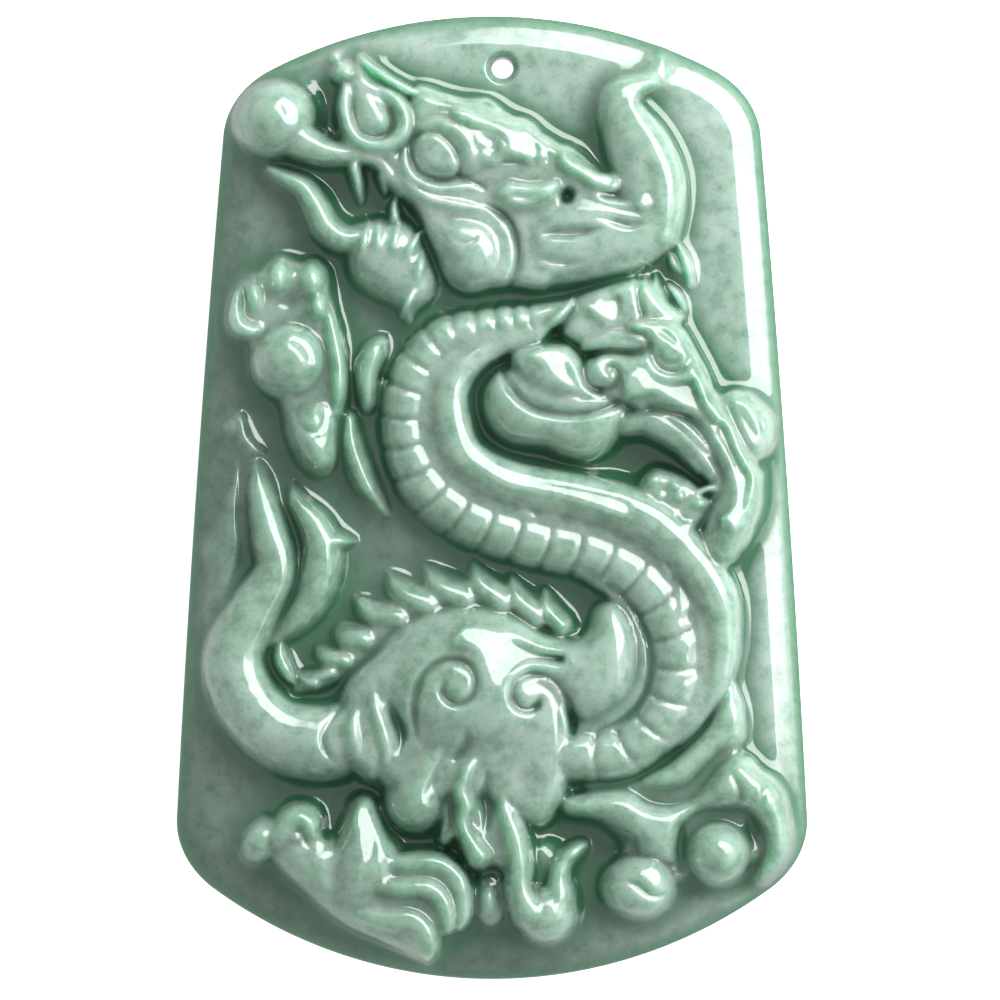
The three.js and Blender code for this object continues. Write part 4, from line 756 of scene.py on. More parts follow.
groove(0.4, 0.35, [[11.6, -19.9, 0.5], [11.8, -20.9], [11.75, -22], [11.85, -23.2]])
pad(4, [[10.4, -22.1], [11.3, -23], [11.65, -24.4], [11.2, -25.5], [10.3, -26.2], [9.1, -26.4], [7.9, -26.1],
        [7, -25.3], [6.65, -24.2], [7, -23.2], [7.9, -22.4], [9, -22]], 2)
groove(0.7, 0.3, [[8.3, -23.8, 0.4], [9.2, -24.2], [9.9, -24.75], [11, -24.7, 0.5]])
glint([9.75, -22.65], [10.15, -22.6], [10.35, -23.3], [10.35, -23.8], [10.1, -23.8], [9.85, -23.2])
bevel([[10.9, -25.15, 0.12], [10, -25.05, 0.17], [9.3, -24.6, 0.18], [8.4, -24.15, 0.12]])
knob(4.3, 14.1, -22.15, 2.15)
hollow(0.5, 16.3, -20.9, 0.7, 1.5, 20)
measure("right hind leg")

# %% Left hind foot
pad(3.2, [[-14, -22.3], [-13.6, -20.9], [-12.4, -20.2], [-10.6, -20.9], [-9.6, -21], [-8.8, -19.4], [-7, -19.4],
          [-6.2, -21.4], [-4.8, -22], [-3.5, -22], [-2.4, -22.4], [-1.6, -23.2], [-1.2, -24.2], [-1.1, -25.5],
          [-1.3, -26.5], [-2, -27.1], [-2.7, -27.3], [-3.1, -28.3], [-3.9, -29], [-4.8, -28.9], [-7, -27.9],
          [-9, -27], [-10.6, -25.9], [-12, -24.6], [-13.3, -23.5]], 1.6)
knob(2.9, -14.4, -21.4, 1.25, 1.75, -32)
limb(3.7, [[-13.2, -21.2, 0.9], [-12.4, -20.1, 1.1], [-11.6, -20.1, 1.1], [-11.2, -20.9, 0.8], [-10.9, -21.8, 0.6]],
     taper=0.3)
knob(3.3, -12.2, -21.2, 0.9)
pad(3.6, [[-12.8, -21.8], [-11, -21.3], [-9.6, -21], [-9, -24], [-9.4, -25.8], [-11, -25.2], [-12.8, -23.6],
          [-13.4, -22.6]], 1.6)
pad(4.3, [[-10, -21.4], [-9.4, -19.9], [-8.9, -18.9], [-8.1, -18.35], [-7.3, -18.6], [-6.8, -19.5], [-6.2, -20.8],
          [-5.5, -21.9], [-5.4, -23.2], [-6, -24.6], [-7, -25.6], [-8.4, -26.5], [-10, -25.6], [-10.4, -23.4]], 2.1)
limb(3.7, [[-6.4, -22.8, 0.7], [-4.9, -22.8, 0.9], [-3.4, -22.85, 0.9], [-2.3, -23.6, 0.9], [-1.85, -24.8, 0.8],
           [-1.8, -26, 0.65], [-2, -26.7, 0.4]], taper=0.25, fullness=3)
limb(4.1, [[-7, -24.2, 0.7], [-5.6, -24.3, 0.85], [-4.1, -24.3, 0.85], [-3.2, -24.95, 0.85], [-2.8, -25.9, 0.75],
           [-2.7, -26.8, 0.5]], taper=0.25, fullness=3)
limb(3.9, [[-8.1, -26, 0.7], [-6.4, -26.3, 1.05], [-5, -26.3, 1.05], [-4.2, -27.1, 1], [-3.95, -28.1, 0.75],
           [-4, -28.6, 0.45]], taper=0.25, fullness=3)
measure("left hind foot")

# %% Light on the left hind foot
glint([-8.6, -19.3], [-8.05, -18.95], [-7.5, -19.3], [-7.2, -20], [-7, -21], [-7.1, -22.1], [-7.6, -22.8],
      [-8, -23.4], [-8.2, -24.4], [-8.4, -23.9], [-8.35, -22.5], [-8.4, -21.2], [-8.8, -20.4], soft=0.2)
glint([-7.05, -23.5], [-6.5, -23.35], [-6.05, -23.8], [-6.6, -24.05], [-7.05, -23.75])
glint([-7.6, -24.95], [-7.05, -25.05], [-7.15, -25.5], [-7.55, -25.45])
glint([-11.85, -19.45], [-11.2, -19.55], [-10.95, -20.3], [-11.1, -21.05], [-11.4, -21], [-11.4, -20.1],
      [-11.8, -19.8])
glint([-11.25, -21.15], [-10.4, -21.15], [-10.25, -21.5], [-10.6, -21.95], [-11.15, -21.75])
glint([-13.65, -20.65], [-13.3, -20.25], [-13.15, -20.7], [-13.5, -21])
bevel([[-2.1, -23.15, 0.15], [-2.7, -22.75, 0.22], [-3.5, -22.4, 0.15]])
bevel([[-1.65, -24.75, 0.12], [-1.9, -24.2, 0.2], [-2.2, -23.9, 0.12]])
bevel([[-2.55, -25.7, 0.15], [-2.9, -25, 0.3], [-3.5, -24.25, 0.32], [-4.4, -23.8, 0.2]])
bevel([[-3.7, -26.4, 0.12], [-4.2, -25.85, 0.22], [-5, -25.5, 0.2]])
measure("left hind foot, cut")

# %% [markdown]
# ## The raised paw
# The other front paw reaches up the left side, palm out: toes along its top, a round palm, and the heel below. Knobs on
# a low pad make it, one for each toe, because the fillet where two forms meet joins them as skin would.

# %% Raised paw
pad(2.4, [[-14.6, 14.3], [-13.9, 14.9], [-13, 15.2], [-12, 14.9], [-11.1, 15], [-10.2, 14.4], [-9.9, 13],
          [-9.7, 11.2], [-9.3, 9], [-9, 7], [-9.2, 5], [-9.4, 3.4], [-9.5, 2.2], [-10, 1.4], [-10.8, 1.15],
          [-11.6, 1.5], [-12.4, 2.4], [-13, 3.8], [-13.2, 5], [-13.6, 6], [-14.7, 6.9], [-15.3, 8], [-15.4, 9.4],
          [-15.9, 10], [-16.4, 11], [-16.5, 12.2], [-16, 13.4], [-15.3, 14]], 1.3)
knob(3.5, -14.8, 12.5, 0.75, 1.45, 8)
knob(3.9, -13.25, 13.65, 0.95, 1.5, -3)
knob(3.9, -11.2, 13.5, 1, 1.45)
knob(3.8, -10.75, 11.9, 0.85, 1.2)
limb(3.4, [[-15.9, 12.8, 0.35], [-16, 11.6, 0.6], [-15.7, 10.7, 0.75], [-14.9, 10.4, 0.7], [-14.3, 10.9, 0.4]])
hollow(0.3, -12.7, 12.2, 1.1, 0.7)
hollow(0.8, -15.3, 12.6, 0.35, 1.1, 8)
knob(4.8, -12.65, 8.6, 2.6, 2.65)
pad(3.9, [[-12.9, 5], [-12.3, 5.8], [-11.2, 6.2], [-10.2, 6.2], [-9.6, 5.4], [-9.5, 4], [-9.6, 2.4], [-10.1, 1.6],
          [-10.9, 1.4], [-11.7, 1.9], [-12.4, 2.8], [-12.8, 3.9]], 1.5)
groove(0.5, 0.25, [[-12, 5.9, 0.4], [-12.1, 5.1], [-11.8, 4.4], [-11.2, 4.1], [-10.6, 4.3], [-10.45, 5],
                   [-10.8, 5.6, 0.4]])
limb(3.2, [[-10.3, 12, 0.4], [-9.9, 10, 0.55], [-9.6, 8.2, 0.6], [-9.6, 6.6, 0.6], [-9.7, 5.4, 0.4]], foot=1)
measure("raised paw")

# %% Light on the raised paw
glint([-12.75, 9.9], [-12.5, 10.35], [-11.9, 10.2], [-11.2, 9.65], [-10.8, 9], [-10.65, 8.15], [-11.3, 7.95],
      [-11.6, 8.6], [-12, 9.2], [-12.5, 9.6])
glint([-11.45, 13.6], [-11.15, 14.1], [-10.8, 13.95], [-10.75, 13.5], [-11, 13.15])
glint([-13.05, 13.9], [-12.7, 14.05], [-12.55, 13.4], [-12.8, 13.05], [-13.05, 13.3])
glint([-10.85, 12.6], [-10.45, 12.75], [-10.35, 12], [-10.25, 11.35], [-10.6, 11.5], [-10.75, 12.1])
glint([-10.8, 5.65], [-10.3, 5.95], [-9.9, 5.5], [-9.8, 4.7], [-10, 3.7], [-10.7, 3.05], [-11.1, 3.45], [-11.6, 4.05],
      [-10.7, 3.95], [-10.25, 4.5], [-10.5, 5.2])
glint([-15.3, 10.85], [-14.9, 10.75], [-14.4, 10.6], [-14.6, 10.35], [-15, 10.45])
bevel([[-9.5, 6.2, 0.15], [-9.55, 7, 0.22], [-9.7, 8, 0.15]])
measure("raised paw, cut")

# %% The two leaves beside it
pad(2.5, [[-6.7, 10.1], [-7.7, 9.9], [-8.5, 9], [-8.8, 7.8], [-8.6, 6.6], [-8, 5.2], [-7.2, 5.6], [-6.9, 7.6],
          [-6.5, 9]], 0.9)
limb(2.2, [[-8.9, 5, 0.5], [-8.8, 3.4, 0.8], [-8.3, 1.8, 0.9], [-7.6, 0.4, 0.7], [-6.6, -1, 0.25]], fullness=1.6)
measure("leaves")

# %% [markdown]
# ## The head
# The head is in profile and looks left, with a pearl at its open mouth. Large forms go first: the jaw and mane, the
# horn, the snout, the brow and the cheek. Teeth, lips, nostril, eye and the locks of hair are cut into them afterwards.

# %% Beard
pad(2.9, [[-9.2, 16.8], [-9.2, 14.8], [-8.6, 13.3], [-7.4, 12.4], [-5.9, 11.7], [-5.2, 10.5], [-4.7, 11.5],
          [-3.6, 12.4], [-3.2, 13.8], [-4, 16], [-5.2, 17.4], [-7.6, 17.5]], 1.9)
BEARD_TUFTS = [
    [[-8.3, 14.6, 0.12], [-8, 15.8, 0.35], [-7.7, 17.2, 0.1]],
    [[-7.1, 14.9, 0.12], [-7.1, 15.9, 0.35], [-7, 17.3, 0.1]],
    [[-6.3, 14.8, 0.12], [-6.1, 15.9, 0.32], [-5.7, 17.3, 0.1]],
    [[-5.4, 14.6, 0.12], [-5.0, 15.6, 0.35], [-4.4, 16.7, 0.1]],
    [[-4.9, 12.9, 0.15], [-4.5, 14.2, 0.5], [-4.3, 15.4, 0.15]],
    [[-5.6, 11.3, 0.1], [-5.2, 12.2, 0.4], [-4.6, 13.2, 0.15]],
]
for tuft in BEARD_TUFTS:
    limb(3.4, tuft, fullness=1.8, taper=0.4)
measure("beard")

# %% Horn and mane
limb(3.4, [[9.4, 16.4, 1.6], [9.4, 18.6, 2.1], [9.3, 20.8, 2.3], [8.7, 22.6, 1.9], [8, 24.1, 1.45], [8.1, 25.1, 1.15],
           [9, 25.7, 0.75], [10, 26.1, 0.45]], taper=0.35)
limb(3.5, [[10.4, 16.6, 1.4], [10.6, 18.4, 1.6], [10.4, 20.2, 1.7], [9.7, 22.1, 1.5], [8.9, 23.6, 1.1],
           [8.5, 24.6, 0.9], [9, 25.4, 0.6], [10, 25.9, 0.4]], taper=0.35)
limb(0.9, [[9.4, 25.7, 0.6], [10.2, 26.2, 0.7], [10.6, 27, 0.7], [10.7, 28, 0.5]], fullness=1.6, foot=0)
pad(3.6, [[1.6, 17.6], [1.6, 14.2], [2, 13.1], [4, 12.95], [7, 13.3], [9.2, 13.95], [10.8, 15.05], [11.8, 16.3],
          [12.1, 17.6], [12.2, 19.2], [11.8, 20.6], [10.8, 20], [9.4, 19], [7, 19.6], [4, 19.4]], 2.2)
groove(0.75, 0.5, [[2.9, 16.35, 0.3], [3.8, 16.5], [4.8, 16.5, 1.1], [5.8, 16.6], [6.9, 16.8, 0.3]])
groove(0.6, 0.42, [[2.6, 15.05, 0.3], [3.6, 14.8], [4.6, 14.65], [5.8, 14.75, 0.3]])
groove(0.45, 0.35, [[6.4, 17.5, 0.3], [7.6, 17.2], [8.6, 16.95], [9.8, 17.1, 0.3]])
groove(0.35, 0.2, [[1.8, 17.2, 0.5], [2, 16.5], [2.4, 15.9, 0.5]])
measure("horn and mane")

# %% Snout and nostril
pad(3, [[-5.2, 25.2], [-3, 25.2], [-0.3, 24.8], [2.5, 23.3], [4.8, 21.9], [6.8, 20.3], [7.5, 18], [4, 13.2],
        [1.4, 13], [-0.3, 12.9], [-1.6, 12.8], [-3, 13.6], [-4, 15.6], [-5, 17.9], [-6.6, 19.4], [-6, 22],
        [-5.4, 23.4]], 0.9)
pad(3.1, [[-9.5, 25.6], [-8.9, 26.8], [-8.2, 27.4], [-7.3, 26.6], [-5.8, 25.7], [-5, 25], [-5, 23], [-5.3, 21.8],
          [-5, 20.4], [-4.4, 19.6], [-2.6, 18.4], [-4.9, 18.3], [-6.2, 19.6], [-7.2, 20.7], [-8.8, 20.9],
          [-9.6, 21.6], [-9.7, 23.5]], 1.1)
limb(3.8, [[-9.1, 25.6, 0.4], [-9.15, 24.4, 0.6], [-8.9, 23.3, 0.75], [-8.3, 22.4, 0.8], [-7.3, 22, 0.8],
           [-6.2, 22.1, 0.8], [-5.5, 22.8, 0.75], [-5.4, 23.7, 0.7], [-5.8, 24.6, 0.6], [-6.6, 25.3, 0.45],
           [-7.6, 25.6, 0.2]], taper=0.25)
limb(3.7, [[-7.4, 23.6, 1.3], [-7.7, 24.4, 1], [-8.1, 25.2, 0.5], [-8.4, 25.8, 0.15]], taper=0.2, fullness=3)
groove(0.75, 0.26, [[-8.5, 25.5, 0.4], [-8.65, 24.3], [-8.55, 23.3], [-8.1, 22.65], [-7.4, 22.4], [-6.6, 22.55],
                    [-6.2, 23.2], [-6.35, 24.1], [-7, 25, 0.4]])
knob(2.9, -9.15, 26.5, 0.85)
knob(1.4, -9.8, 27.6, 0.4)
limb(3.5, [[-8.2, 27.5, 0.18], [-7.5, 26.8, 0.32], [-6.3, 25.95, 0.35], [-5.2, 25.4, 0.3], [-4.6, 25.2, 0.15]],
     taper=0.3)
groove(0.5, 0.2, [[-8.1, 26.9, 0.5], [-7.2, 26.15], [-6, 25.5], [-5.2, 24.8, 0.5]])
measure("snout")

# %% Crest and brow
pad(2.9, [[-5, 25.4], [-4.3, 25.8], [-3, 25.4], [-1.8, 25.1], [-0.3, 25], [0.7, 24.4], [1.1, 24], [1.9, 23.85],
          [2.6, 23.5], [3.3, 22.8], [3.9, 22.3], [4.8, 22.1], [5.6, 21.6], [6.3, 21], [6.9, 20.4], [5.5, 19.6],
          [2, 19.5], [-2, 19], [-4.8, 19.8], [-5.4, 22]], 0.8)
groove(0.45, 0.2, [[-4.7, 25.2, 0.5], [-3.2, 24.9], [-2, 24.75], [-0.6, 24.65], [0.3, 24.1], [1.1, 23.6], [2, 23.3],
                   [2.8, 22.75], [3.4, 22.1], [4.3, 21.6, 0.5]])
pad(4, [[-5.3, 22.6], [-4.8, 23.9], [-3.6, 24.5], [-2, 24.4], [-0.4, 24], [1.2, 23.35], [2.7, 22.4], [3.9, 21.7],
        [4.1, 20.7], [2.6, 20.3], [0.6, 20.4], [-0.4, 19.9], [-1.4, 19.5], [-3, 19.3], [-4.6, 19.7], [-5.4, 20.9]],
    1.5)
facet(3.55, 1.2, 22.3, [[-2.4, 24.2], [-1.2, 24.15], [0, 23.7], [1.3, 23.15], [2.6, 22.35], [2.65, 21.3], [2, 21],
                        [1, 21.5], [0.4, 22.3], [-0.8, 22.9], [-2.2, 23.4]], fall=0.55)
facet(3.7, -0.2, 22.2, [[-1.2, 22.8], [-0.4, 22.7], [0.3, 22.4], [0.6, 21.7], [-0.3, 21.6], [-1, 21.9]], soft=0.15)
facet(3.75, 0, 21.1, [[-0.9, 21.6], [0.2, 21.5], [0.9, 21.2], [0.3, 20.7], [-0.5, 20.8]], soft=0.15)
groove(0.3, 0.17, [[-2.9, 23.5, 0.4], [-2.3, 23.75], [-1.6, 23.65], [-1.7, 23.2, 0.4]])
groove(0.35, 0.17, [[-1.5, 22.95, 0.4], [-0.5, 22.95], [0.3, 22.6], [0.8, 22.1], [0.9, 21.6, 0.4]])
groove(0.35, 0.17, [[-1, 21.7, 0.4], [0.1, 21.65], [0.9, 21.4, 0.4]])
groove(0.35, 0.17, [[-0.5, 20.95, 0.4], [0.6, 20.95], [1.6, 20.9], [2.6, 20.5, 0.4]])
groove(0.45, 0.17, [[2.8, 22.4, 0.4], [2.7, 21.4], [2.85, 20.4, 0.4]])
groove(0.4, 0.17, [[3.35, 22, 0.4], [3.55, 21.2], [3.45, 20.4, 0.4]])
groove(0.4, 0.17, [[3.9, 21.5, 0.4], [3.95, 20.9], [3.85, 20.3, 0.4]])
measure("crest and brow")

# %% Eye
groove(0.6, 0.27, [[-5.1, 22], [-4.6, 22.6], [-3.6, 22.75], [-2.7, 22.2], [-2.1, 21.3], [-2, 20.4], [-2.4, 19.95],
                   [-3.4, 19.8], [-4.3, 20.2], [-4.95, 21]], closed=True)
groove(0.5, 0.22, [[-2.1, 20.1], [-1.3, 19.7], [-0.6, 19.4], [-0.3, 19.1, 0.5]])
knob(4.15, -3.6, 21.25, 1.35, foot=2)
groove(0.14, 0.1, [[-4.4, 21.2], [-4, 21.6], [-3.55, 21.2], [-4, 20.8]], closed=True)
fold(0.3, [[-4.9, 23.1, 0.12], [-3.4, 23.4, 0.35], [-2.1, 22.8, 0.45], [-1.4, 21.6, 0.45], [-1.2, 20.4, 0.2]])
fold(0.5, [[-5.5, 21.6, 0.12], [-5.3, 20.5, 0.3], [-4.7, 19.75, 0.35], [-3.5, 19.25, 0.35], [-2.2, 19.25, 0.3],
           [-1.2, 19.5, 0.12]])
fold(0.55, [[-5.6, 20.1, 0.1], [-5, 19.3, 0.3], [-4.1, 18.7, 0.35], [-2.8, 18.35, 0.35], [-1.5, 18.1, 0.3],
            [-0.5, 17.9, 0.12]])
measure("eye")

# %% Cheek and ear
pad(4.2, [[-4.5, 17], [-3.4, 18], [-1.8, 18.1], [-0.3, 17.8], [0.65, 17.1], [1.1, 16.2], [1.25, 15.2], [1.1, 14.2],
          [0.6, 13.3], [-0.3, 12.8], [-1.4, 12.6], [-2.5, 13], [-3.3, 13.9], [-3.9, 15.2]], 2.3)
groove(0.8, 0.33, [[-0.4, 18.3, 0.4], [0.6, 17.7], [1.25, 16.9], [1.55, 16], [1.65, 15], [1.5, 14.1], [1.2, 13.4],
                   [0.8, 12.9, 0.4]])
groove(0.4, 0.18, [[-3.5, 17.1, 0.4], [-3, 16.3], [-2.5, 15.6, 0.4]])
groove(0.4, 0.18, [[-2.8, 17.1, 0.4], [-2.4, 16.2], [-1.6, 15.9], [-1, 16.1], [-0.8, 16.7, 0.4]])
pad(4, [[-0.25, 19.1], [0.3, 19.8], [1, 20.15], [2.2, 19.95], [3.2, 20], [3.9, 20.2], [4.9, 19.8], [4.5, 19.2],
        [4.1, 18.5], [3.4, 18], [2.4, 17.7], [1.4, 17.6], [0.5, 17.9], [-0.1, 18.5]], 0.8)
groove(0.3, 0.14, [[0.7, 19.8, 0.5], [1.7, 19.55], [2.7, 19.45], [3.7, 19.7], [4.7, 19.6, 0.5]])
hollow(0.45, 1.9, 18.65, 1.4, 0.5)
fold(0.25, [[0.9, 18.8, 0.1], [1.4, 18.45, 0.2], [2, 18.4, 0.22], [2.8, 18.6, 0.1]])
hollow(1.4, 4.7, 18.8, 0.6, 0.8, -20)
pad(3.9, [[4.1, 21.7], [5, 21.4], [6.6, 20.5], [7.8, 20.15], [8.15, 19.5], [7.8, 18.9], [6.8, 19], [5.4, 19.7],
          [4.2, 20.4]], 0.5)
facet(3.75, 5.8, 20.4, [[4.2, 21.5], [4.9, 21.2], [6.6, 20.3], [7.8, 19.95], [7.6, 19.35], [6.4, 19.25], [5.4, 19.9],
                        [4.4, 20.5]])
pad(3.7, [[5.2, 19.6], [6.8, 18.95], [8, 18.7], [8.8, 18.65], [9.3, 19.15], [10, 19.15], [10.35, 18.6], [10.1, 17.9],
          [9, 17.7], [7.5, 17.9], [6, 18.5]], 0.5)
facet(3.6, 9.5, 18.4, [[8.9, 18.3], [9.3, 18.95], [10.05, 18.9], [10, 18], [9.2, 17.85]])
measure("cheek and ear")

# %% Lips, teeth and the pearl
limb(3.5, [[-12.8, 22.8, 1.5], [-11.6, 22.1, 1.3], [-10.4, 21.6, 1.05], [-9.2, 21.4, 0.85], [-8, 21.3, 0.75],
           [-7, 20.9, 0.65], [-6.3, 20, 0.6], [-5.6, 19.2, 0.5], [-4.8, 18.7, 0.3]], taper=0.2, fullness=2.4)
groove(0.35, 0.2, [[-9.6, 20.9, 0.4], [-8.4, 20.75], [-7.3, 20.4], [-6.6, 19.6], [-5.9, 18.9, 0.4]])
limb(3, [[-13.9, 20.5, 0.3], [-13, 20, 0.55], [-11.8, 19.4, 0.75], [-11, 18.2, 0.9], [-10.4, 17, 1], [-9.4, 16.2, 1],
         [-8.3, 16.3, 0.75], [-7.2, 16.9, 0.4]], taper=0.35)
limb(3.1, [[-8.6, 20.7, 0.5], [-8.35, 19.6, 0.36], [-8.15, 18.4, 0.08]])
limb(2.6, [[-6.9, 20.1, 0.35], [-6.7, 19.4, 0.25], [-6.6, 18.8, 0.08]])
limb(2.8, [[-6.05, 17.4, 0.35], [-6.1, 18.2, 0.28], [-6, 18.9, 0.08]])
limb(0.5, [[-12, 26.3, 0.12], [-10.9, 25, 0.22], [-10.5, 23.8, 0.22], [-10.5, 22.8, 0.12]], fullness=1.6, foot=0)
knob(4.6, -13.55, 23.6, 2.75, 2.55)
glint([-13.35, 25.05], [-12.7, 25.25], [-12.2, 24.7], [-11.95, 23.9], [-12.05, 23.1], [-12.7, 23], [-12.95, 23.8],
      [-13.25, 24.4], soft=0.2)
measure("lips, teeth and pearl")

# %% [markdown]
# ## Finishing the stone
# Two things turn the raw forms into polished jade. The carver's burr leaves a small skirt where a form stands on the
# ground, which shows as a thin bright line beside it, and polishing takes the edge off everything. Both are soft
# averages of the height. The highest places are pressed down softly to one level, because they all began as the face
# of one slab. How far a place lies below its surroundings is kept too, as its cavity, for the shade painted into cuts
# and hollows. The whole carving is then set to its real depth, and the rim falls away round it.

# %% Skirts and polish
CARVING_SHARE = 0.85
SKIRT_HEIGHT, SKIRT_REACH, SKIRT_FULLNESS, SKIRT_END = 0.75, 0.42, 1.25, 0.02
POLISH = 0.1
HIGHEST, TOP_SOFTNESS = 4.98, 5.0
NEAR_REACH, NEAR_DEPTH = 0.9, 1.2
FAR_REACH, FAR_DEPTH, FAR_LIMIT = 2.5, 6, 0.3


def blur(field, sigma):
    """A soft average over a distance in mm, first along the columns and then along the rows."""
    reach = int(math.ceil(3 * sigma / STEP))
    weights = np.exp(-0.5 * (np.arange(-reach, reach + 1) * STEP / sigma) ** 2)
    weights /= weights.sum()
    padded = np.pad(field, reach, mode="edge")
    rows, columns = field.shape
    tall = sum(w * padded[k : k + rows, :] for k, w in enumerate(weights))
    return sum(w * tall[:, k : k + columns] for k, w in enumerate(weights))


skirt = SKIRT_FULLNESS * blur(np.clip(height, 0, SKIRT_HEIGHT), SKIRT_REACH) - SKIRT_END
height = np.where(height < SKIRT_HEIGHT, np.maximum(height, np.minimum(skirt, height + SKIRT_HEIGHT)), height)
height = blur(height, POLISH)
height = -np.logaddexp(-TOP_SOFTNESS * height, -TOP_SOFTNESS * HIGHEST) / TOP_SOFTNESS
# Cavity: how far a place lies below its near and its wider surroundings. It only steers painted shade, a darker green
# in cuts and in ground walled in by forms.
cavity = np.clip((blur(height, NEAR_REACH) - height) / NEAR_DEPTH, -1, 1)
cavity += np.clip((blur(height, FAR_REACH) - height) / FAR_DEPTH, 0, FAR_LIMIT)
print("carving, mm:", round(CARVING_SHARE * height.max(), 2))

# %% The front's height at any place
RIM_WIDTH, RIM_SLOPE, RIM_BREAK = 1.9, 0.5, 0.12
EDGE_WIDTH, EDGE_FALL = 0.8, 0.45
LAST_CELL = 1.001


def sample(field, x, y):
    """Reads a raster between its places."""
    fx = np.clip((x - raster_x[0]) / STEP, 0, len(raster_x) - LAST_CELL)
    fy = np.clip((y - raster_y[0]) / STEP, 0, len(raster_y) - LAST_CELL)
    i, j = fx.astype(int), fy.astype(int)
    s, t = fx - i, fy - j
    low = field[j, i] * (1 - s) + field[j, i + 1] * s
    high = field[j + 1, i] * (1 - s) + field[j + 1, i + 1] * s
    return low * (1 - t) + high * t


def front_height(x, y):
    """The ground, the carving, a flat chamfer along the rim and a rounded edge outside it."""
    depth = inset(x, y)
    chamfer = RIM_SLOPE * RIM_BREAK * np.logaddexp(0, (RIM_WIDTH - depth) / RIM_BREAK)
    edge = EDGE_FALL * np.clip(1 - depth / EDGE_WIDTH, 0, 1) ** 2
    return GROUND_LEVEL + CARVING_SHARE * sample(height, x, y) - chamfer - edge


print("outermost edge, mm:", round(float(front_height(ring[:1, 0], ring[:1, 1])[0]), 2))

# %% [markdown]
# ## The skin
# A square grid cut off at the rim would have a stepped edge. So a net of four-sided faces is stretched between four
# runs of the outline, and its outer rows follow the rim. It carries the front. Rings of faces go down the side and
# round the back edge, and a cord hole is opened near the top: the faces round it are left out, and the gap is drawn
# in to a circle, a short cone and a straight bore.

# %% The net of the front
FACES_ACROSS, FACES_ALONG = 238, 362
UPPER_CORNER, LOWER_CORNER = (16, 24.9), (18.9, -23.2)
FINE_STEPS = 40


def outline_run(start, end, faces):
    """Evenly spaced points of the outline between two directions."""
    fine = outline_points(np.linspace(start, end, FINE_STEPS * faces + 1))
    walked = np.concatenate([[0], np.cumsum(np.hypot(*np.diff(fine, axis=0).T))])
    wanted = np.linspace(0, walked[-1], faces + 1)
    return np.stack([np.interp(wanted, walked, fine[:, k]) for k in (0, 1)], 1)


upper_corner, lower_corner = (math.atan2(y, x) for x, y in (UPPER_CORNER, LOWER_CORNER))
right = outline_run(lower_corner, upper_corner, FACES_ALONG)
top = outline_run(math.pi - upper_corner, upper_corner, FACES_ACROSS)
bottom = outline_run(-math.pi - lower_corner, lower_corner, FACES_ACROSS)
left = right * [-1, 1]
s = np.linspace(0, 1, FACES_ACROSS + 1)[None, :, None]
t = np.linspace(0, 1, FACES_ALONG + 1)[:, None, None]
net = (1 - t) * bottom[None] + t * top[None] + (1 - s) * left[:, None] + s * right[:, None]
net -= (1 - s) * (1 - t) * bottom[0] + s * (1 - t) * bottom[-1] + (1 - s) * t * top[0] + s * t * top[-1]
print("net:", net.shape)

# %% Lay the faces
HOLE_X, HOLE_Y, HOLE_RADIUS = 0.65, 26.9, 0.7
HOLE_MOUTH_RADIUS, HOLE_MOUTH_DEPTH = 1.05, 0.5
HOLE_MARGIN = 0.35

flat = net.reshape(-1, 2)
vertices = [np.column_stack([flat, front_height(flat[:, 0], flat[:, 1])])]
count = len(flat)
faces = []
wide = FACES_ACROSS + 1
cell_x = (net[1:, 1:, 0] + net[:-1, :-1, 0]) / 2
cell_y = (net[1:, 1:, 1] + net[:-1, :-1, 1]) / 2
j_near, i_near = np.nonzero(np.hypot(cell_x - HOLE_X, cell_y - HOLE_Y) < HOLE_MOUTH_RADIUS + HOLE_MARGIN)
j0, j1, i0, i1 = j_near.min(), j_near.max() + 1, i_near.min(), i_near.max() + 1
gone = np.zeros(cell_x.shape, bool)
gone[j0:j1, i0:i1] = True
for j in range(FACES_ALONG):
    for i in np.flatnonzero(~gone[j]):
        a = j * wide + i
        faces.append((a, a + 1, a + 1 + wide, a + wide))
print("faces left out for the hole:", int(gone.sum()))


def add_ring(points):
    """New vertices, and their numbers."""
    global count
    vertices.append(np.asarray(points, float))
    count += len(points)
    return list(range(count - len(points), count))


def join_rings(outer, inner):
    """Faces between two closed rings of the same length."""
    for k in range(len(outer)):
        n = (k + 1) % len(outer)
        faces.append((outer[n], outer[k], inner[k], inner[n]))


# %% Side wall and back edge
BACK_ROUND, BACK_ROUND_STEPS = 0.9, 6
WALL_ROWS = (0.12, 0.45, 0.8)
NUDGE = 0.01
rim = [*range(FACES_ACROSS), *(j * wide + FACES_ACROSS for j in range(FACES_ALONG)),
       *(FACES_ALONG * wide + i for i in range(FACES_ACROSS, 0, -1)), *(j * wide for j in range(FACES_ALONG, 0, -1))]
rim_xy = flat[rim]
rim_z = vertices[0][rim, 2]
inwards = np.stack([inset(rim_xy[:, 0] + NUDGE, rim_xy[:, 1]) - inset(rim_xy[:, 0] - NUDGE, rim_xy[:, 1]),
                    inset(rim_xy[:, 0], rim_xy[:, 1] + NUDGE) - inset(rim_xy[:, 0], rim_xy[:, 1] - NUDGE)], 1)
inwards /= np.linalg.norm(inwards, axis=1)[:, None]
above = rim
for share in WALL_ROWS:
    below = add_ring(np.column_stack([rim_xy, rim_z + (BACK_ROUND - rim_z) * share]))
    join_rings(above, below)
    above = below
for turn in np.linspace(0, math.pi / 2, BACK_ROUND_STEPS + 1):
    xy = rim_xy + inwards * BACK_ROUND * (1 - math.cos(turn))
    below = add_ring(np.column_stack([xy, np.full(len(xy), BACK_ROUND * (1 - math.sin(turn)))]))
    join_rings(above, below)
    above = below
back_outer = above
print("vertices with side wall and back edge:", count)

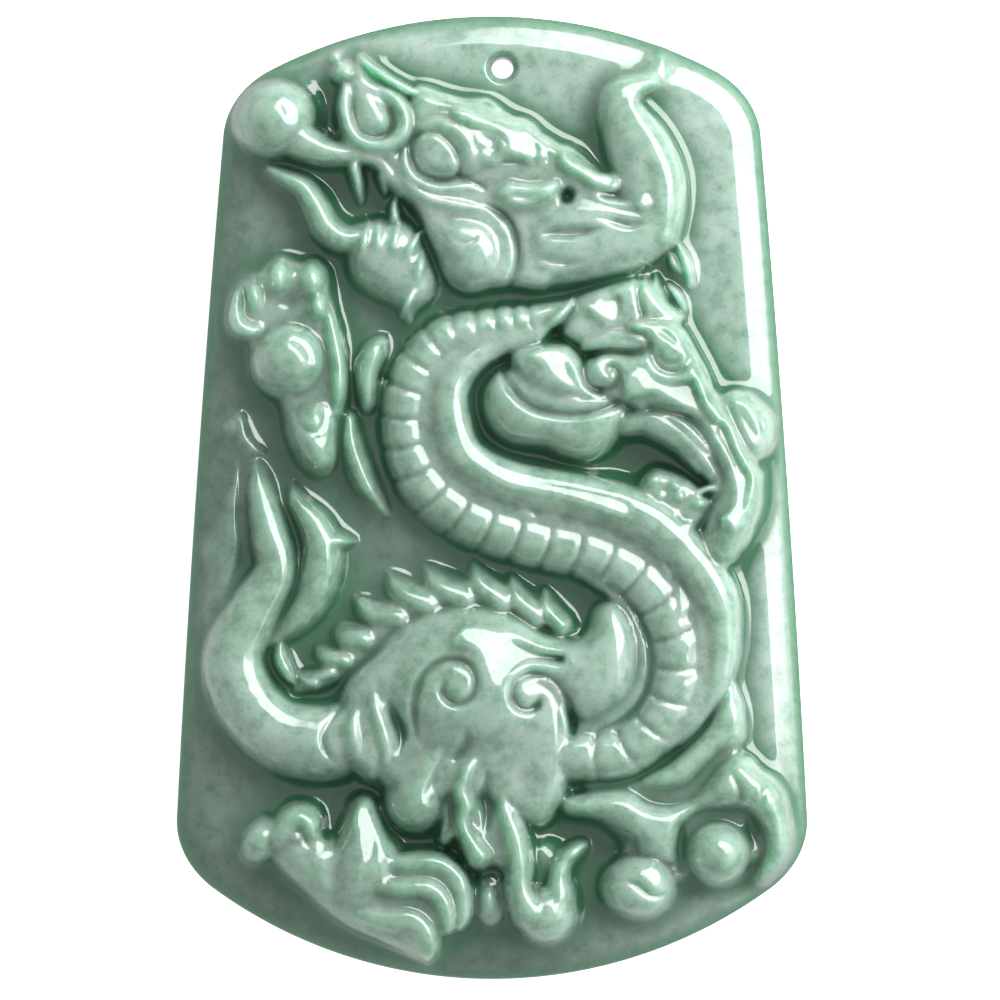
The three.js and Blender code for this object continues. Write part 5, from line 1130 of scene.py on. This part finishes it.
# %% Cord hole
MOUTH_LIP, CONE_LIP, BORE_LIP = 0.14, 0.03, 0.04
LIP_DEPTH, ROUNDING_DEPTH = 0.02, 0.1
gap = [*(j0 * wide + i for i in range(i0, i1)), *(j * wide + i1 for j in range(j0, j1)),
       *(j1 * wide + i for i in range(i1, i0, -1)), *(j * wide + i0 for j in range(j1, j0, -1))]
gap = gap[::-1]
angles = np.array([math.atan2(flat[g][1] - HOLE_Y, flat[g][0] - HOLE_X) for g in gap])
mouth = float(front_height(np.array([HOLE_X]), np.array([HOLE_Y]))[0])
above = gap
hole_profile = [
    (HOLE_MOUTH_RADIUS + MOUTH_LIP, mouth),
    (HOLE_MOUTH_RADIUS + CONE_LIP, mouth - LIP_DEPTH),
    (HOLE_MOUTH_RADIUS - CONE_LIP, mouth - ROUNDING_DEPTH),
    (HOLE_RADIUS + BORE_LIP, mouth - HOLE_MOUTH_DEPTH),
    (HOLE_RADIUS, mouth - HOLE_MOUTH_DEPTH - ROUNDING_DEPTH),
    (HOLE_RADIUS, HOLE_MOUTH_DEPTH + ROUNDING_DEPTH),
    (HOLE_RADIUS + BORE_LIP, HOLE_MOUTH_DEPTH),
    (HOLE_MOUTH_RADIUS, 0),
]
for radius, z in hole_profile:
    xy = np.stack([HOLE_X + radius * np.cos(angles), HOLE_Y + radius * np.sin(angles)], 1)
    below = add_ring(np.column_stack([xy, np.full(len(xy), z)]))
    join_rings(above, below)
    above = below
back_inner = above
print("vertices:", count, "faces:", len(faces))

# %% Close the back and make the mesh
points = np.vstack(vertices)
stone_mesh = bpy.data.meshes.new("jade_pendant_stone")
stone_mesh.from_pydata((points * MM).tolist(), [], [tuple(int(v) for v in f) for f in faces])
shell = bmesh.new()
shell.from_mesh(stone_mesh)
shell.verts.ensure_lookup_table()
back_rings = set(back_outer) | set(back_inner)
back_edges = [e for e in shell.edges if e.is_boundary and e.verts[0].index in back_rings]
bmesh.ops.triangle_fill(shell, edges=back_edges, use_beauty=True, normal=(0, 0, -1))
bmesh.ops.recalc_face_normals(shell, faces=shell.faces)
print("open edges:", sum(e.is_boundary for e in shell.edges), "volume, mm3:", round(shell.calc_volume() / MM**3))
for face in shell.faces:
    face.smooth = True
shell.to_mesh(stone_mesh)
shell.free()
stone_mesh.validate()
stone_mesh.materials.append(jade)
stone = bpy.data.objects.new("jade_pendant_stone", stone_mesh)
bpy.context.scene.collection.objects.link(stone)
print("triangles:", sum(len(p.vertices) - 2 for p in stone_mesh.polygons))

# %% Note on the mesh where shade is painted and where forms stand up
FRONT_FROM = 3
EDGE_SHADE, EDGE_SHADE_REACH = 0.75, 1.1
FORM_REACH, FORM_HEIGHT = 0.3, 2.2
places = np.array([v.co for v in stone_mesh.vertices]) / MM
place_x, place_y, place_z = places.T
# Painted shade along the rim: a dark green that grows towards the outline.
edge_shade = EDGE_SHADE * np.clip(1 - inset(place_x, place_y) / EDGE_SHADE_REACH, 0, 1)
# Painted shade for the cuts and hollows of the front, from the cavity, and for the rim.
painted_shade = np.maximum(np.where(place_z > FRONT_FROM, sample(cavity, place_x, place_y), 0), edge_shade)
# Where the carving stands up, so that the light and shade painted across the slab fall mostly on the ground.
stands_up = np.clip(sample(blur(height, FORM_REACH), place_x, place_y) / FORM_HEIGHT, 0, 1)
for name, values in {"painted_shade": painted_shade, "stands_up": stands_up}.items():
    stone_mesh.attributes.new(name, "FLOAT", "POINT").data.foreach_set("value", values.astype(np.float32))
    print(name, "from", round(float(values.min()), 2), "to", round(float(values.max()), 2))

# %% [markdown]
# ## Jade
# Jade is a felt of fine crystals: cloudy, a little translucent, and so hard that it takes a glassy polish. Light goes
# some millimetres in and comes out greener. The colour is clouds of pale and darker grey-green with fine specks, all
# from noise on the stone's own coordinates. Shade and light are painted on top, steered by two numbers on the mesh:
# one paints a saturated dark green shade into cuts and along the rim, and "stands_up" tells forms from ground,
# because the ground is painted darker away from the softbox and paler towards it, and the forms hardly are.

# %% Tools for the material
jade.use_nodes = True
nodes, links = jade.node_tree.nodes, jade.node_tree.links
nodes.clear()
output = nodes.new("ShaderNodeOutputMaterial")
shader = nodes.new("ShaderNodeBsdfPrincipled")
links.new(shader.outputs["BSDF"], output.inputs["Surface"])
place = nodes.new("ShaderNodeTexCoord")


def noise(scale, detail, roughness=0.5, distortion=0.0):
    """Noise on the stone's own coordinates."""
    node = nodes.new("ShaderNodeTexNoise")
    node.inputs["Scale"].default_value = scale
    node.inputs["Detail"].default_value = detail
    node.inputs["Roughness"].default_value = roughness
    node.inputs["Distortion"].default_value = distortion
    links.new(place.outputs["Object"], node.inputs["Vector"])
    return node.outputs["Fac"]


def ramp(fac, stops):
    """Colours at places between 0 and 1."""
    node = nodes.new("ShaderNodeValToRGB")
    elements = node.color_ramp.elements
    elements[0].position, elements[0].color = stops[0][0], (*stops[0][1], 1)
    elements[1].position, elements[1].color = stops[-1][0], (*stops[-1][1], 1)
    for position, colour in stops[1:-1]:
        elements.new(position).color = (*colour, 1)
    links.new(fac, node.inputs["Fac"])
    return node.outputs["Color"]


def mix(kind, fac, a, b):
    """Two colours blended. Numbers and colours are set, sockets are linked."""
    node = nodes.new("ShaderNodeMix")
    node.data_type, node.blend_type = "RGBA", kind
    for value, socket in ((fac, node.inputs["Factor"]), (a, node.inputs[6]), (b, node.inputs[7])):
        if isinstance(value, (int, float)):
            socket.default_value = value
        elif isinstance(value, tuple):
            socket.default_value = (*value, 1)
        else:
            links.new(value, socket)
    return node.outputs[2]


def on_mesh(name):
    """A number that the mesh carries."""
    node = nodes.new("ShaderNodeAttribute")
    node.attribute_name = name
    return node.outputs["Fac"]


def spread(value, low, high, kind="LINEAR"):
    """Maps a value from low..high to 0..1."""
    node = nodes.new("ShaderNodeMapRange")
    node.interpolation_type = kind
    node.inputs["From Min"].default_value = low
    node.inputs["From Max"].default_value = high
    links.new(value, node.inputs["Value"])
    return node.outputs["Result"]


print("material:", jade.name)

# %% Painted light and shade across the slab
# Painted light and shade: darker on the side away from the softbox, paler towards it; strongly on the ground, a little
# on the forms.
SHADED_GROUND, LIT_GROUND = (0.135, 0.215, 0.165), (0.35, 0.465, 0.4)
SHADED_FORM, LIT_FORM = (0.275, 0.4, 0.325), (0.285, 0.41, 0.335)
TOWARDS_SOFTBOX = (1, 0.45, 0)
DARK_UNTIL, PALE_FROM = -14, 12

slant = nodes.new("ShaderNodeVectorMath")
slant.operation = "DOT_PRODUCT"
slant.inputs[1].default_value = TOWARDS_SOFTBOX
links.new(place.outputs["Object"], slant.inputs[0])
light_across_slab = spread(slant.outputs["Value"], DARK_UNTIL * MM, PALE_FROM * MM, "SMOOTHSTEP")
ground_colour = mix("MIX", light_across_slab, SHADED_GROUND, LIT_GROUND)
form_colour = mix("MIX", light_across_slab, SHADED_FORM, LIT_FORM)
colour = mix("MIX", on_mesh("stands_up"), ground_colour, form_colour)
print("ground from", SHADED_GROUND, "to", LIT_GROUND)

# %% Clouds, mottle, specks, and painted shade in cuts and along the rim
PLAIN = (1, 1, 1)
SHADE_GREEN, SHADE_FROM, SHADE_TO = (0.045, 0.17, 0.09), 0.1, 0.75
SPECK_SHARE = 0.6

clouds = ramp(noise(95, 5, 0.55, 0.4), [(0.32, (0.78, 0.86, 0.82)), (0.5, PLAIN), (0.68, (1.2, 1.12, 1.18))])
mottle = ramp(noise(900, 4, 0.6), [(0.35, (0.72, 0.8, 0.76)), (0.5, PLAIN), (0.65, (1.18, 1.12, 1.15))])
specks = ramp(noise(3800, 2, 0.5), [(0.58, PLAIN), (0.72, (0.72, 0.82, 0.76))])
for share, pattern in ((1.0, clouds), (1.0, mottle), (SPECK_SHARE, specks)):
    colour = mix("MULTIPLY", share, colour, pattern)
# Painted shade: a saturated dark green mixed in where the mesh's shade number is high, in cuts and along the rim.
colour = mix("MIX", spread(on_mesh("painted_shade"), SHADE_FROM, SHADE_TO), colour, SHADE_GREEN)
links.new(colour, shader.inputs["Base Color"])
print("nodes:", len(nodes))

# %% Polish and translucency
JADE_LOOK = {
    "Roughness": 0.1, "IOR": 1.66,
    "Subsurface Weight": 0.85, "Subsurface Radius": (0.35, 1.0, 0.6), "Subsurface Scale": 3 * MM,
    "Coat Weight": 0.65, "Coat Roughness": 0.05, "Coat IOR": 1.55,
}
for name, value in JADE_LOOK.items():
    shader.inputs[name].default_value = value
print("jade:", JADE_LOOK)

# %% [markdown]
# ## Floor and light
# A long, hard-edged softbox stands to the upper right: on every ball of the carving its reflection is a bent bright
# bar, and on the rim a pale band. Its place is read back from those bars, because a mirror ball turns a light's
# direction into a place on its own surface. The bars fade at one end, so a ramp along the softbox dims it there. A
# white room fills the shadows, and the floor is plain and pale.

# %% Floor
FLOOR_HALF = 1.5
PAPER_LOOK = {
    "Base Color": (0.9, 0.9, 0.9, 1), "Roughness": 0.9, "Emission Color": (1, 1, 1, 1), "Emission Strength": 0.85,
}
floor_mesh = bpy.data.meshes.new("floor")
floor_mesh.from_pydata([(-FLOOR_HALF, -FLOOR_HALF, 0), (FLOOR_HALF, -FLOOR_HALF, 0), (FLOOR_HALF, FLOOR_HALF, 0),
                        (-FLOOR_HALF, FLOOR_HALF, 0)], [], [(0, 1, 2, 3)])
floor = bpy.data.objects.new("floor", floor_mesh)
bpy.context.scene.collection.objects.link(floor)
paper = bpy.data.materials.new("white_paper")
paper.use_nodes = True
for name, value in PAPER_LOOK.items():
    paper.node_tree.nodes["Principled BSDF"].inputs[name].default_value = value
floor_mesh.materials.append(paper)
floor.visible_glossy = False
print("floor:", 2 * FLOOR_HALF, "m wide")

# %% Softbox
SOFTBOX_DISTANCE = 0.20
SOFTBOX_LENGTH, SOFTBOX_WIDTH = 2.8, 0.73
SOFTBOX_POWER = 0.7
SOFTBOX_GLOW = ((0.0, 1.0), (0.085, 1.4), (0.2, 2.05), (0.645, 2.05), (0.685, 0.55), (1.0, 0.35))
SOFTBOX_SIDE = Vector((0.548, -0.796, -0.26)).normalized()
SOFTBOX_BACK = Vector((0.796, 0.397, 0.46)).normalized()
SOFTBOX_MIDDLE = Vector((0.696, 0.4235, 0.579))
softbox_data = bpy.data.lights.new("softbox", "AREA")
softbox_data.shape = "RECTANGLE"
softbox_data.size, softbox_data.size_y = SOFTBOX_LENGTH * SOFTBOX_DISTANCE, SOFTBOX_WIDTH * SOFTBOX_DISTANCE
softbox_data.energy = SOFTBOX_POWER
softbox = bpy.data.objects.new("softbox", softbox_data)
upright = SOFTBOX_BACK.cross(SOFTBOX_SIDE).normalized()
turned = Matrix((SOFTBOX_SIDE, upright, SOFTBOX_BACK)).transposed().to_4x4()
softbox.matrix_world = Matrix.Translation(SOFTBOX_MIDDLE * SOFTBOX_DISTANCE) @ turned
softbox.visible_camera = False
bpy.context.scene.collection.objects.link(softbox)
print("softbox, m:", round(softbox_data.size, 2), "x", round(softbox_data.size_y, 2))

# %% Brightness along the softbox
softbox_data.use_nodes = True
lamp = softbox_data.node_tree
spot = lamp.nodes.new("ShaderNodeNewGeometry")
split = lamp.nodes.new("ShaderNodeSeparateXYZ")
lamp.links.new(spot.outputs["Parametric"], split.inputs["Vector"])
glow = lamp.nodes.new("ShaderNodeValToRGB")
for position, _ in SOFTBOX_GLOW[1:-1]:
    glow.color_ramp.elements.new(position)
for element, (position, strength) in zip(glow.color_ramp.elements, SOFTBOX_GLOW):
    element.position, element.color = position, (strength, strength, strength, 1)
lamp.links.new(split.outputs["X"], glow.inputs["Fac"])
lamp.links.new(glow.outputs["Color"], lamp.nodes["Emission"].inputs["Strength"])
print("brightness along the softbox:", SOFTBOX_GLOW)

# %% Room
ROOM_LIGHT = 0.51
room = bpy.data.worlds.new("room")
bpy.context.scene.world = room
room.use_nodes = True
room.node_tree.nodes["Background"].inputs["Color"].default_value = (1, 1, 1, 1)
room.node_tree.nodes["Background"].inputs["Strength"].default_value = ROOM_LIGHT
bpy.context.scene.view_settings.view_transform = "Standard"
print("room light:", ROOM_LIGHT)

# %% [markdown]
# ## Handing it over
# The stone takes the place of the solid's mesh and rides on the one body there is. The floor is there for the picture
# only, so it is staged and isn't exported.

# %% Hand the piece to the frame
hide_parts("jade_pendant")
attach(stone, "root")
